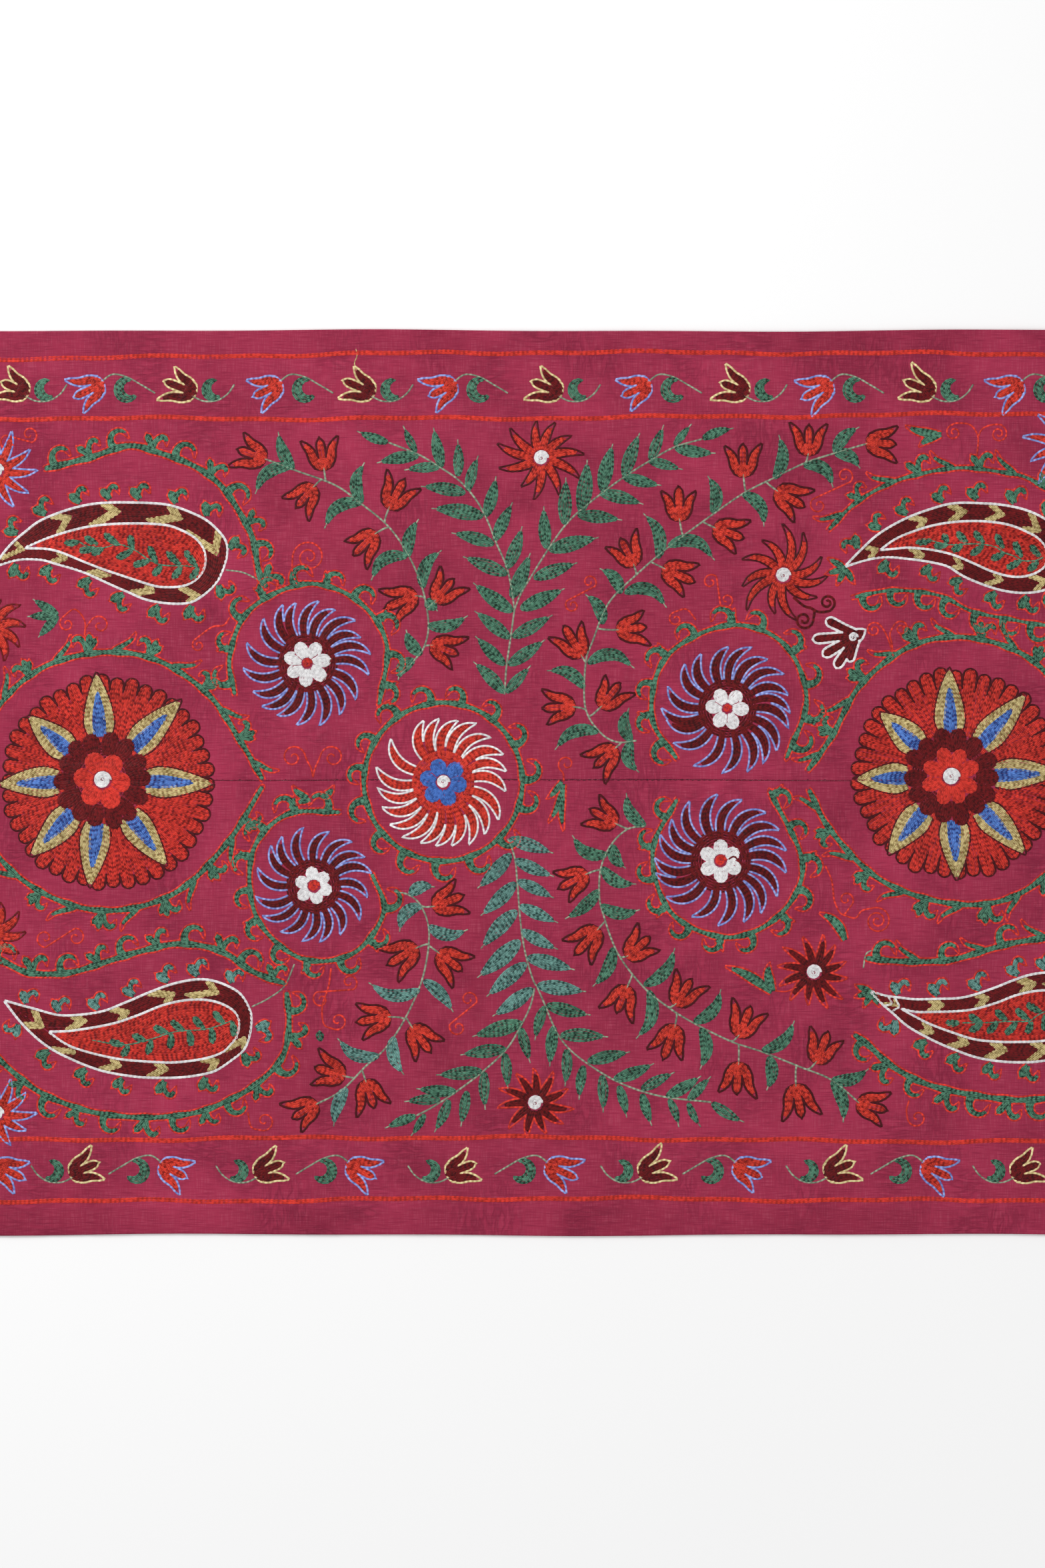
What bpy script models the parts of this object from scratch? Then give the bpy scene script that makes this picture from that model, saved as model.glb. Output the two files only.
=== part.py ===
# Suzani: an embroidered cotton textile, lying flat with its face up.
#
# Two loom widths are joined by a centre seam and embroidered afterwards. Each width is one thin sheet:
# its underside is flat, and its face has the hem, the pressed seam allowance, the creases and the
# slight drawing-in of the stitches.
#
# X runs along the borders, Y across the seam, and Z up. The origin is under the middle of the cloth.

import math
from collections import namedtuple

import bmesh
import bpy

# Driving dimensions, in metres
LENGTH = 1.145
WIDTH = 0.750
SEAM_Y = 0.0022
SEAM_GAP = 0.0003
CLOTH = 0.0017

# The hem is turned under all round, and doubles the cloth
HEM_WIDTH = 0.0235
HEM_RISE = 0.0006

# Both seam allowances are pressed towards the upper width
SEAM_ALLOWANCE = 0.0130
SEAM_RISE = 0.0005

# At the seam each width rolls down into a shallow groove
GROOVE_WIDTH = 0.0026
GROOVE_DEPTH = 0.0005

# A step in the face, such as a hem's inner edge, is spread over this width
STEP_WIDTH = 0.0030

# Edges waver inwards, and the seam wavers to both sides
EDGE_WAVER = 0.0022
SEAM_WAVER = 0.0006
SEAM_PULL_REACH = 0.10

# The stitches draw the cloth into slight ripples
RIPPLE_HEIGHT = 0.00025
RIPPLE_LENGTH = 0.085

# The grid's spacing on the face, at most
PITCH = 0.0235

# Soft creases on the face: middle, half length, half width, turn from X in degrees, rise
Crease = namedtuple("Crease", "x y reach spread turn rise")
CREASES = (
    Crease(-0.412, 0.126, 0.042, 0.0070, 88.0, 0.0011),
    Crease(-0.428, 0.262, 0.040, 0.0075, 92.0, 0.0009),
    Crease(-0.417, -0.150, 0.042, 0.0070, 90.0, 0.0011),
    Crease(-0.015, -0.309, 0.260, 0.0065, -0.4, 0.0010),
    Crease(-0.225, -0.353, 0.190, 0.0070, 1.2, 0.0008),
    Crease(0.330, -0.352, 0.120, 0.0070, -1.5, 0.0008),
    Crease(-0.160, -0.249, 0.090, 0.0070, 6.0, 0.0007),
    Crease(-0.130, -0.283, 0.075, 0.0065, 7.0, 0.0007),
    Crease(0.265, -0.232, 0.055, 0.0060, 1.0, 0.0008),
    Crease(0.145, -0.240, 0.050, 0.0060, -3.0, 0.0007),
    Crease(-0.047, -0.076, 0.050, 0.0080, 25.0, 0.0009),
    Crease(-0.045, -0.121, 0.036, 0.0070, 17.0, 0.0007),
    Crease(0.170, 0.288, 0.040, 0.0060, 1.0, 0.0007),
    Crease(0.480, 0.030, 0.055, 0.0075, 80.0, 0.0009),
    Crease(0.500, -0.190, 0.050, 0.0075, 96.0, 0.0008),
    Crease(-0.510, 0.010, 0.055, 0.0075, 84.0, 0.0009),
)

# Madder-dyed cotton: its sRGB colour, from 0 to 255
COTTON_COLOUR = (149, 53, 76)
COTTON_ROUGHNESS = 0.86

Panel = namedtuple("Panel", "name side seam_allowance")
PANELS = (
    Panel("panel_upper", 1, SEAM_ALLOWANCE),
    Panel("panel_lower", -1, 0.0),
)


def clear_scene():
    for old in list(bpy.data.objects):
        bpy.data.objects.remove(old, do_unlink=True)


def linear(level):
    share = level / 255.0
    if share <= 0.04045:
        return share / 12.92
    return ((share + 0.055) / 1.055) ** 2.4


def make_cotton(name):
    material = bpy.data.materials.new(name)
    material.use_nodes = True
    shader = material.node_tree.nodes["Principled BSDF"]
    colour = [linear(level) for level in COTTON_COLOUR]
    shader.inputs["Base Color"].default_value = (*colour, 1.0)
    shader.inputs["Roughness"].default_value = COTTON_ROUGHNESS
    shader.inputs["Metallic"].default_value = 0.0
    return material


def step_up(distance, edge):
    # 0 before the edge and 1 past it, rising in a straight line over STEP_WIDTH
    share = (distance - edge) / STEP_WIDTH + 0.5
    return min(1.0, max(0.0, share))


def waver(along, seed):
    # A slow uneven wave between -1 and 1
    slow = math.sin(along * 11.0 + seed)
    quick = math.sin(along * 27.0 + seed * 2.3)
    return 0.65 * slow + 0.35 * quick


def edge_inset(along, half, seed):
    # How far an edge lies inside its straight line: nothing at the corners, which stay square
    fade = 1.0 - abs(along / half) ** 6
    return EDGE_WAVER * (0.5 + 0.5 * waver(along, seed)) * fade


def seam_line(x):
    return SEAM_Y + SEAM_WAVER * waver(x, 1.7)


def grid_lines(start, end, start_bands, end_bands):
    # Lines from start to end: at each band's edge by both ends, and evenly spaced in between
    inner_start = start + start_bands[-1]
    inner_end = end - end_bands[-1]
    count = max(1, math.ceil((inner_end - inner_start) / PITCH))
    pitch = (inner_end - inner_start) / count
    lines = [start]
    lines += [start + band for band in start_bands]
    lines += [inner_start + pitch * number for number in range(1, count)]
    lines += [end - band for band in reversed(end_bands)]
    lines.append(end)
    return lines


def hem_bands():
    return (HEM_WIDTH - STEP_WIDTH / 2, HEM_WIDTH + STEP_WIDTH / 2)


def seam_bands(allowance):
    bands = [GROOVE_WIDTH]
    if allowance:
        bands += [allowance - STEP_WIDTH / 2, allowance + STEP_WIDTH / 2]
    return bands


def crease_rise(x, y):
    # Each crease is a long soft ridge, highest at its middle
    total = 0.0
    for crease in CREASES:
        turn = math.radians(crease.turn)
        along = (x - crease.x) * math.cos(turn) + (y - crease.y) * math.sin(turn)
        across = (y - crease.y) * math.cos(turn) - (x - crease.x) * math.sin(turn)
        total += crease.rise * math.exp(-(along / crease.reach) ** 2 - (across / crease.spread) ** 2)
    return total


def ripple(x, y):
    # Shallow uneven dimples all over the embroidered field
    turn = 2.0 * math.pi / RIPPLE_LENGTH
    first = math.sin(turn * x + 1.9 * math.sin(turn * 0.37 * y))
    second = math.sin(turn * 0.83 * y + 1.4 * math.sin(turn * 0.29 * x + 0.8))
    return RIPPLE_HEIGHT * first * second


def face_height(panel, x, y):
    to_edge = min(LENGTH / 2 - abs(x), WIDTH / 2 - abs(y))
    to_seam = abs(y - SEAM_Y)
    height = CLOTH + crease_rise(x, y) + ripple(x, y)
    height += HEM_RISE * (1.0 - step_up(to_edge, HEM_WIDTH))
    if panel.seam_allowance:
        height += SEAM_RISE * (1.0 - step_up(to_seam, panel.seam_allowance))
    height -= GROOVE_DEPTH * max(0.0, 1.0 - to_seam / GROOVE_WIDTH)
    return height


def place_on_cloth(panel, x, y):
    # Move a point of the straight grid onto the wavering outline and the wavering seam
    half_length = LENGTH / 2
    half_width = WIDTH / 2
    end_pull = edge_inset(y, half_width, 0.4 if x < 0 else 3.1) * abs(x / half_length) ** 5
    side_pull = edge_inset(x, half_length, 5.2 + panel.side) * abs(y / half_width) ** 5
    seam_pull = max(0.0, 1.0 - abs(y - SEAM_Y) / SEAM_PULL_REACH) * (seam_line(x) - SEAM_Y)
    placed_x = x - math.copysign(end_pull, x)
    placed_y = y - panel.side * side_pull + seam_pull
    return placed_x, placed_y


def make_panel(panel, collection):
    seam_edge = SEAM_Y + panel.side * SEAM_GAP / 2
    outer_edge = panel.side * WIDTH / 2
    columns = grid_lines(-LENGTH / 2, LENGTH / 2, hem_bands(), hem_bands())
    if panel.side > 0:
        rows = grid_lines(seam_edge, outer_edge, seam_bands(panel.seam_allowance), hem_bands())
    else:
        rows = grid_lines(outer_edge, seam_edge, hem_bands(), seam_bands(panel.seam_allowance))

    # A flat grid whose lines are moved to the panel's own, then pulled up into a solid sheet
    body = bmesh.new()
    bmesh.ops.create_grid(body, x_segments=len(columns) - 1, y_segments=len(rows) - 1, size=0.5)
    for vertex in body.verts:
        column = round((vertex.co.x + 0.5) * (len(columns) - 1))
        row = round((vertex.co.y + 0.5) * (len(rows) - 1))
        vertex.co = (columns[column], rows[row], 0.0)
    pulled = bmesh.ops.extrude_face_region(body, geom=body.faces[:])
    for part in pulled["geom"]:
        if isinstance(part, bmesh.types.BMVert):
            part.co.z = face_height(panel, part.co.x, part.co.y)
    for vertex in body.verts:
        vertex.co.x, vertex.co.y = place_on_cloth(panel, vertex.co.x, vertex.co.y)
    bmesh.ops.recalc_face_normals(body, faces=body.faces[:])

    mesh = bpy.data.meshes.new(panel.name)
    body.to_mesh(mesh)
    body.free()
    mesh.shade_smooth()
    mesh.set_sharp_from_angle(angle=math.radians(40.0))
    mesh.materials.append(make_cotton(panel.name + "_cotton"))
    sheet = bpy.data.objects.new(panel.name, mesh)
    collection.objects.link(sheet)
    return sheet


def main():
    clear_scene()
    collection = bpy.data.collections.new("suzani")
    bpy.context.scene.collection.children.link(collection)
    for panel in PANELS:
        make_panel(panel, collection)


main()
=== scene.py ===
import math
import bpy
import numpy as np
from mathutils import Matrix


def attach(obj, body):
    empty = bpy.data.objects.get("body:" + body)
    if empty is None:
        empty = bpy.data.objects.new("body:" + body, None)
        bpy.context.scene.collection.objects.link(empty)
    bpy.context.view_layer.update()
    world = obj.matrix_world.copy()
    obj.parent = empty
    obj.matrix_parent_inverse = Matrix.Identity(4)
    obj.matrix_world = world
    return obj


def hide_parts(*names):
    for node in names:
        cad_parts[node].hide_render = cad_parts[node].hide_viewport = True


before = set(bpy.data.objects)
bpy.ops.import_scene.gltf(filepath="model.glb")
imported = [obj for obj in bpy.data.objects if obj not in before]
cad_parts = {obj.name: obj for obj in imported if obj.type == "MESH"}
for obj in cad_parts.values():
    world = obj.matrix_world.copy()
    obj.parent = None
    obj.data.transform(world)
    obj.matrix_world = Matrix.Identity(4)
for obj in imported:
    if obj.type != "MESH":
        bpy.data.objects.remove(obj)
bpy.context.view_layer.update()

print("frame loaded")

# The design is drawn in the photograph's pixels, x to the right and y down from its top left corner
design = {
    "pixel": 0.0005515,  # metres of cloth for each pixel
    "middle": (788.0, 1174.0),  # the pixel under the cloth's middle
    "seam": 1170.0,
}

# Chain stitch, in pixels where nothing else is said
chain = {
    "reach": 0.9,  # a row's direction is taken between places this far behind and ahead
    "riseShare": (0.55, 0.45),  # a thin row's height, and what its width adds
    "rowPitch": 4.0,  # rows of a filling lie this far apart, 2.2 mm
    "link": 6.8,  # one loop, 3.7 mm
    "fineWidth": 3.35,  # thinner rows have the simpler section
    "lineWidth": 3.7,  # a single row along an edge
    "rise": 0.00062,  # thread above the cloth, metres
    "sunk": 0.00006,  # how far a row's sides go into the cloth, metres
    "unevenness": 0.42,  # how much links differ in the light they catch
    "lineLight": 0.24,  # the least light on a single row, which has no neighbours to shade it
    "overlap": 1.04,  # a filling's rows are this much wider than their pitch
    "cutStep": 1.2,  # a row that is cut has its points this far apart
    "raised": 0.0001,  # rows on top of others, metres
}

# Silk floss colours with painted light: the first of each pair is the painted highlight on top of the
# thread, the second the painted shade between its strands
threads = {
    "madderRed": ("#fa4638", "#600a0c"),
    "poppyRed": ("#fc4c3a", "#70100c"),
    "oxblood": ("#82181c", "#340609"),
    "umber": ("#5e151c", "#200508"),
    "ivory": ("#ffffff", "#b0abad"),
    "straw": ("#f6e2a2", "#6e5726"),
    "cream": ("#fdecb4", "#8c7036"),
    "cornflower": ("#6c9df0", "#0c2264"),
    "cobalt": ("#5486dc", "#08195a"),
    "periwinkle": ("#aebef6", "#1b2f8e"),
    "leafGreen": ("#68a386", "#02160e"),
    "tealGreen": ("#84b8ae", "#042724"),
    "sage": ("#a8b49b", "#2c3229"),
    "seamBrown": ("#57202e", "#2a0c16"),
}

dice = np.random.default_rng(2603)
basket = {}  # for each piece its rows to be sewn: thread, row, width, lift


# Drawing tools

def spots(points):
    # Photograph pixels as points with y up, so that angles turn the usual way
    return np.array([(x, -y) for x, y in points], float)


def unit(vectors):
    return vectors / np.maximum(np.linalg.norm(vectors, axis=-1, keepdims=True), 1e-9)


def sideways(curve):
    # A curve's left-hand normals: its direction turned by a quarter
    along = unit(np.gradient(curve, axis=0))
    return np.column_stack([-along[:, 1], along[:, 0]])


def lengths(curve):
    # The distance from the start to each point
    steps = np.linalg.norm(np.diff(curve, axis=0), axis=1)
    return np.concatenate([[0.0], np.cumsum(steps)])


def evenly(curve, count):
    # The same curve with its points at equal distances
    far = lengths(curve)
    places = np.linspace(0.0, far[-1], count)
    return np.column_stack([np.interp(places, far, curve[:, 0]), np.interp(places, far, curve[:, 1])])


def smooth(points, closed=False, perSpan=14):
    # Catmull-Rom: each span is the cubic through its two points, with slopes from their neighbours
    points = np.asarray(points, float)
    if closed:
        held = np.vstack([points[-1:], points, points[:2]])
    else:
        held = np.vstack([2 * points[:1] - points[1:2], points, 2 * points[-1:] - points[-2:-1]])
    spans = len(held) - 3
    t = np.linspace(0.0, 1.0, perSpan, endpoint=False)[None, :, None]
    a, b, c, d = (held[first:first + spans, None, :] for first in range(4))
    square, cube = 2 * a - 5 * b + 4 * c - d, 3 * b - a - 3 * c + d
    curve = 0.5 * (2 * b + (c - a) * t + square * t**2 + cube * t**3)
    last = points[:1] if closed else points[-1:]
    return np.vstack([curve.reshape(-1, 2), last])


def arc(middle, radius, start, end, count=40):
    # Points on a circle from one angle to another, in degrees
    turn = np.radians(np.linspace(start, end, count))
    return np.column_stack([middle[0] + radius * np.cos(turn), middle[1] + radius * np.sin(turn)])


def place(points, at, turn=0.0, size=1.0, flip=1.0):
    # Local points, x forwards and y to the left, sized, turned by degrees and moved to their spot
    points = np.asarray(points, float) * size
    c, s = math.cos(math.radians(turn)), math.sin(math.radians(turn))
    x = points[:, 0] * c - points[:, 1] * flip * s
    y = points[:, 0] * s + points[:, 1] * flip * c
    return np.column_stack([x + at[0], y + at[1]])


def heading(vector):
    return math.degrees(math.atan2(vector[1], vector[0]))


# Petals: a spine with a half width along it, which leaves, rays, hooks and vines are too

def petal(points, widths, samples=44):
    # The half width follows the knots (share along the spine, half width), smoothed
    knots = smooth(widths)
    share = np.linspace(0.0, 1.0, samples)
    half = np.interp(share, np.maximum.accumulate(knots[:, 0]), knots[:, 1])
    return {"spine": evenly(smooth(points), samples), "half": np.clip(half, 0.0, None)}


def placed(shape, at, turn=0.0, size=1.0, flip=1.0):
    return {"spine": place(shape["spine"], at, turn, size, flip), "half": shape["half"] * size}


def hairpin(shape, inset, tail=0.0):
    # One row inset from a petal's edge: up one side, round the tip and down the other
    over = shape["half"] - inset
    good = np.flatnonzero(over > 0)
    if len(good) < 3:
        return None
    run = slice(good[0], good[-1] + 1)
    side = sideways(shape["spine"])[run] * over[run, None]
    left = shape["spine"][run] + side
    right = (shape["spine"][run] - side)[::-1]
    tip = shape["spine"][run][-1:]
    if tail:
        tip = tip + unit(tip - shape["spine"][run][-3:-2]) * tail
    row = np.vstack([left, tip, right])
    if good[0] > 0:
        row = np.vstack([row, row[:1]])
    return row


def outlineOf(shape, inset=0.0):
    side = sideways(shape["spine"]) * np.clip(shape["half"] - inset, 0.0, None)[:, None]
    return np.vstack([shape["spine"] + side, (shape["spine"] - side)[::-1]])


def fillRows(shape, margin=0.0, pitch=chain["rowPitch"]):
    # Hairpins at even steps in from the edge, and one row down the middle where they are odd
    most = shape["half"].max() - margin
    count = max(1, int(round(2 * most / pitch)))
    step = 2 * most / count
    rows = [hairpin(shape, margin + step * (number + 0.5)) for number in range(count // 2)]
    wide = np.flatnonzero(shape["half"] - margin > (0.75 if count % 2 else 1.1) * step)
    if len(wide) > 2:
        rows.append(shape["spine"][wide[0]:wide[-1] + 1])
    return [row for row in rows if row is not None]


def inside(points, polygon):
    # Even-odd rule: a point is inside where a line to the right crosses the outline an odd number of times
    result = np.zeros(len(points), bool)
    near = np.flatnonzero(((points >= polygon.min(0)) & (points <= polygon.max(0))).all(1))
    if not len(near):
        return result
    x, y = points[near, :1], points[near, 1:]
    ends = np.roll(polygon, -1, axis=0)
    crosses = (polygon[:, 1] > y) != (ends[:, 1] > y)
    rise = ends[:, 1] - polygon[:, 1]
    rise = np.where(np.abs(rise) < 1e-9, 1e-9, rise)
    meets = polygon[:, 0] + (y - polygon[:, 1]) * (ends[:, 0] - polygon[:, 0]) / rise
    result[near] = (crosses & (x < meets)).sum(1) % 2 == 1
    return result


def cutRows(rows, outside=(), within=()):
    # The stretches of each row that lie outside every first outline and within some second one
    kept = []
    for row in rows:
        if row is None or len(row) < 2:
            continue
        row = evenly(row, max(3, int(lengths(row)[-1] / chain["cutStep"])))
        keep = np.ones(len(row), bool)
        for polygon in outside:
            keep &= ~inside(row, polygon)
        if within:
            keep &= np.any([inside(row, polygon) for polygon in within], axis=0)
        edges = np.flatnonzero(np.diff(np.concatenate([[0], keep.astype(int), [0]])))
        kept += [row[first:last] for first, last in zip(edges[::2], edges[1::2]) if last - first > 3]
    return kept


def sew(piece, thread, rows, width=None, lift=0.0):
    # Rows go into the basket of their piece, and are made into stitches at the end
    for row in rows:
        if row is not None and len(row) > 1:
            basket.setdefault(piece, []).append((thread, row,
                width or chain["rowPitch"] * chain["overlap"], lift))


def sewShapes(piece, shapes, fill, edge=None, edgeWidth=chain["lineWidth"], tail=3.0, holes=(),
        pitch=None, gap=0.0):
    # Petals that grow together: each is filled where no earlier one is, and edged where no other is
    outlines = [outlineOf(shape) for shape in shapes]
    fuller = [outlineOf(shape, 1.2) for shape in shapes]
    holes = list(holes)
    for number, shape in enumerate(shapes):
        rows = fillRows(shape, 0.0, pitch or chain["rowPitch"])
        sew(piece, fill, cutRows(rows, outside=fuller[:number] + holes))
        if edge:
            others = outlines[:number] + outlines[number + 1:] + holes
            rim = hairpin(shape, -0.45 * edgeWidth - gap, tail)
            sew(piece, edge, cutRows([rim], outside=others), edgeWidth)


def spiralRow(at, radius, pitch):
    # One row wound from the rim to the middle
    turns = max(1.0, (radius - 0.5 * pitch) / pitch)
    t = np.linspace(0.0, 1.0, int(26 * turns))
    r = (radius - 0.5 * pitch) * (1.0 - t) + 0.6 * t
    a = 2 * math.pi * turns * t
    return np.column_stack([at[0] + r * np.cos(a), at[1] + r * np.sin(a)])


def disc(at, radius):
    return arc(at, radius, 0.0, 360.0, 48)


# Flowers

tulipCut = {
    # each petal's spine and its half widths
    "cup": ([(-5, 0), (4, 0), (13, 0)],
            [(0, 0), (0.08, 6), (0.2, 11), (0.45, 14.6), (0.75, 15), (1, 10)]),
    "middle": ([(6, 0), (24, 0), (46, 0)],
               [(0, 5), (0.4, 5.4), (0.75, 5.4), (0.92, 3.4), (1, 0)]),
    "side": ([(2, 7), (14, 13.5), (29, 18), (45, 29)],
             [(0, 6), (0.3, 6.6), (0.6, 5.2), (0.86, 2.8), (1, 0)]),
}
tulipLook = {
    "edgeWidth": 3.6,
    "uneven": 0.1,  # how much petals differ in length, as a share
    "lean": 18.0,  # degrees a flower leans for each whole share of that
    "tail": 4.0,  # how far its outline runs past a petal's tip
}


def tulip(piece, base, turn, size=1.0, fill="poppyRed", edge="umber", edgeWidth=tulipLook["edgeWidth"]):
    # A cup, a middle petal and two that curve out
    wobble = dice.uniform(1.0 - tulipLook["uneven"], 1.0 + tulipLook["uneven"], 3)
    parts = []
    for name, flip, far in (("cup", 1, 1.0), ("side", 1, wobble[0]), ("side", -1, wobble[1]),
        ("middle", 1, wobble[2])):
        points, widths = tulipCut[name]
        points = [(u * size * far, v * size * far) for u, v in points]
        widths = [(share, half * size) for share, half in widths]
        parts.append(placed(petal(points, widths), base, turn + (wobble[0] - 1.0) * tulipLook["lean"],
            1.0, flip))
    sewShapes(piece, parts, fill, edge, edgeWidth, tail=tulipLook["tail"])


rayLook = {
    "start": 0.75,  # rays begin at this share of the heart's radius
    "late": 1.6,  # the higher, the later along a ray its lean comes
    "drift": 30.0,  # degrees a ray strays for each whole share of unevenness
    "widths": [(0, 1.0), (0.25, 1.05), (0.5, 0.9), (0.75, 0.6), (0.92, 0.2), (1, 0)],
    "edgeWidth": 3.2,
    "tail": 4.0,
    "heart": 11.5,
    "heartPitch": 3.4, "heartWidth": 3.6,
}


def rayFlower(piece, at, radius, rays, bend, half, fill, edge, turn, uneven):
    # Rays from a disc, each leaning round by the bend in degrees as it goes out
    parts = []
    heart = rayLook["heart"]
    start = heart * rayLook["start"]
    for number in range(rays):
        far = radius * (1.0 + uneven * dice.uniform(-1, 1))
        angle = turn + 360.0 * number / rays + uneven * rayLook["drift"] * dice.uniform(-1, 1)
        share = np.linspace(0.0, 1.0, 7)
        lean = np.radians(angle + bend * share**rayLook["late"])
        r = start + (far - start) * share
        points = np.column_stack([r * np.cos(lean), r * np.sin(lean)])
        widths = [(spot, half * wide) for spot, wide in rayLook["widths"]]
        parts.append(placed(petal(points, widths, 32), at))
    sewShapes(piece, parts, fill, edge, rayLook["edgeWidth"], tail=rayLook["tail"],
        holes=[disc(at, heart)])
    middle = spiralRow(at, heart + 0.8, rayLook["heartPitch"])
    sew(piece, "ivory", [middle], rayLook["heartWidth"], chain["raised"])


heartLook = {
    "fullness": 0.68,  # a lobe's half width, as a share of what its neighbours leave it
    "widths": [(0, 0.25), (0.32, 0.62), (0.52, 0.93), (0.66, 1.0), (0.82, 0.88), (0.94, 0.55), (1, 0)],
    "drift": 4.0,  # degrees
    "uneven": 0.05,
    "pitch": 3.4, "rowWidth": 3.7, "dotWidth": 3.6,
}


def lobedHeart(piece, at, radius, lobes, thread, turn, hole):
    # Round lobes side by side round a hole, each filled with hairpins round its own tip
    parts = []
    half = radius * math.sin(math.pi / lobes) * heartLook["fullness"]
    for number in range(lobes):
        angle = turn + 360.0 * number / lobes + dice.uniform(-heartLook["drift"], heartLook["drift"])
        far = radius * dice.uniform(1.0 - heartLook["uneven"], 1.0 + heartLook["uneven"])
        widths = [(share, half * wide) for share, wide in heartLook["widths"]]
        parts.append(placed(petal([(1.0, 0), (far * 0.5, 0), (far, 0)], widths, 36), at, angle))
    for number, part in enumerate(parts):
        others = [outlineOf(other) for other in parts[:number]] + [disc(at, hole)]
        sew(piece, thread, cutRows(fillRows(part, 0.0, heartLook["pitch"]), outside=others),
            heartLook["rowWidth"])
    return [outlineOf(part) for part in parts]


wheelLook = {
    "inner": 0.35,  # where petals begin, as a share of the wheel's radius
    "dark": 0.46,  # the bright rims begin here
    # Dark rings: where they end as a share of the wheel's radius, and start as a share of the heart's
    "ringsEnd": 0.48, "ringsStart": 0.6, "ringPitch": 3.9, "ringWidth": 4.0,
    "late": 2.3,  # the higher, the later along a petal its lean comes
    "bow": 3.0,  # degrees it bows the other way at its middle
    "petal": [(0, 5.4), (0.2, 7.0), (0.45, 7.6), (0.7, 6.2), (0.88, 3.2), (1, 0)],
    "petalRadius": 97.0,  # the wheel that those half widths are for
    "rimInset": 0.2, "rimTail": 2.5, "rimWidth": 3.1, "rimLift": 0.00012,
    "margin": 1.9, "pitch": 3.5,
}


def pinwheel(piece, at, radius, tips, lean, fill, edge, heart, heartSize, lobes, dot, dotSize):
    # Curved petals round a dark ring, each edged by a bright chain, and a lobed heart.
    # A petal goes straight out, then its angle changes by the lean towards its tip
    inner = radius * wheelLook["inner"]
    parts = []
    for tip in tips:
        far = radius * dice.uniform(0.96, 1.05)
        share = np.linspace(0.0, 1.0, 9)
        leaning = lean * (1.0 - share**wheelLook["late"])
        angle = np.radians(tip - leaning + wheelLook["bow"] * np.sin(math.pi * share))
        r = inner + (far - inner) * share
        points = np.column_stack([r * np.cos(angle), r * np.sin(angle)])
        size = radius / wheelLook["petalRadius"] * dice.uniform(0.94, 1.06)
        widths = [(spot, half * size) for spot, half in wheelLook["petal"]]
        parts.append(placed(petal(points, widths, 40), at))
    outlines = [outlineOf(part) for part in parts]
    core, darkDisc = disc(at, inner), disc(at, radius * wheelLook["dark"])
    for number, part in enumerate(parts):
        others = outlines[:number] + outlines[number + 1:]
        rim = hairpin(part, wheelLook["rimInset"], wheelLook["rimTail"])
        sew(piece, edge, cutRows([rim], outside=others + [darkDisc]), wheelLook["rimWidth"],
            wheelLook["rimLift"])
        rows = fillRows(part, wheelLook["margin"], wheelLook["pitch"])
        sew(piece, fill, cutRows(rows, outside=[core]))
    hearts = lobedHeart(piece, at, heartSize, lobes, heart, tips[0], dotSize)
    places = np.arange(heartSize * wheelLook["ringsStart"], radius * wheelLook["ringsEnd"],
        wheelLook["ringPitch"])
    rings = [disc(at, far) for far in places]
    sew(piece, fill, cutRows(rings, outside=hearts), wheelLook["ringWidth"], -chain["raised"])
    middle = spiralRow(at, dotSize, heartLook["pitch"])
    sew(piece, dot, [middle], heartLook["dotWidth"], chain["raised"])


rosetteLook = {
    "ring": 72.0,  # radius of the dark lobed ring
    "flower": 44.0,
    "eye": 13.5,
    "goldenStart": 65.0,
    "golden": [(0, 17), (0.2, 22.5), (0.42, 20.5), (0.68, 13.5), (0.86, 6.5), (1, 0)],
    "blueReach": 0.72,  # the blue goes this far along its petal
    "blue": [(0, 9.8), (0.25, 10.4), (0.55, 8.6), (0.82, 5.2), (0.94, 2.8), (1, 0)],
    "blueInset": 1.8, "blueLift": 0.00012,
    "goldenRim": 2.8, "goldenRimLift": 0.0002,
    "lobes": 14,
    "lobeStart": 0.85,  # as a share of the flower's radius
    "lobe": [(0, 7), (0.35, 12), (0.66, 13.0), (0.84, 10.4), (0.95, 5.8), (1, 0)],
    "ringsStart": 0.6, "ringsEnd": 0.84, "ringsLift": -0.00016,
    "scallops": 42,
    "scallopStart": 46.0,
    "scallopEnd": 12.0,  # length of a scallop's round end
    "slimmer": 0.2,  # how much narrower a scallop is past its notch's start
    "scallopMiddle": 0.78,  # nothing of a scallop shows within this share of the ring
    "scallopRim": 3.5, "rimReach": 8.0,  # the dark rims reach this far in past the notches
}


def rosettePetals(at, tips):
    # Eight golden petals, each with its tip, and the blue within each
    golden, blues = [], []
    start = rosetteLook["goldenStart"]
    for tip in tips:
        angle = heading(tip - at)
        far = float(np.linalg.norm(tip - at))
        points = [(start, 0), ((start + far) / 2, dice.uniform(-2, 2)), (far, 0)]
        golden.append(placed(petal(points, rosetteLook["golden"], 48), at, angle))
        core = [(start, 0), (start + (far - start) * rosetteLook["blueReach"], 0)]
        blues.append(placed(petal(core, rosetteLook["blue"], 36), at, angle))
    return golden, blues


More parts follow.
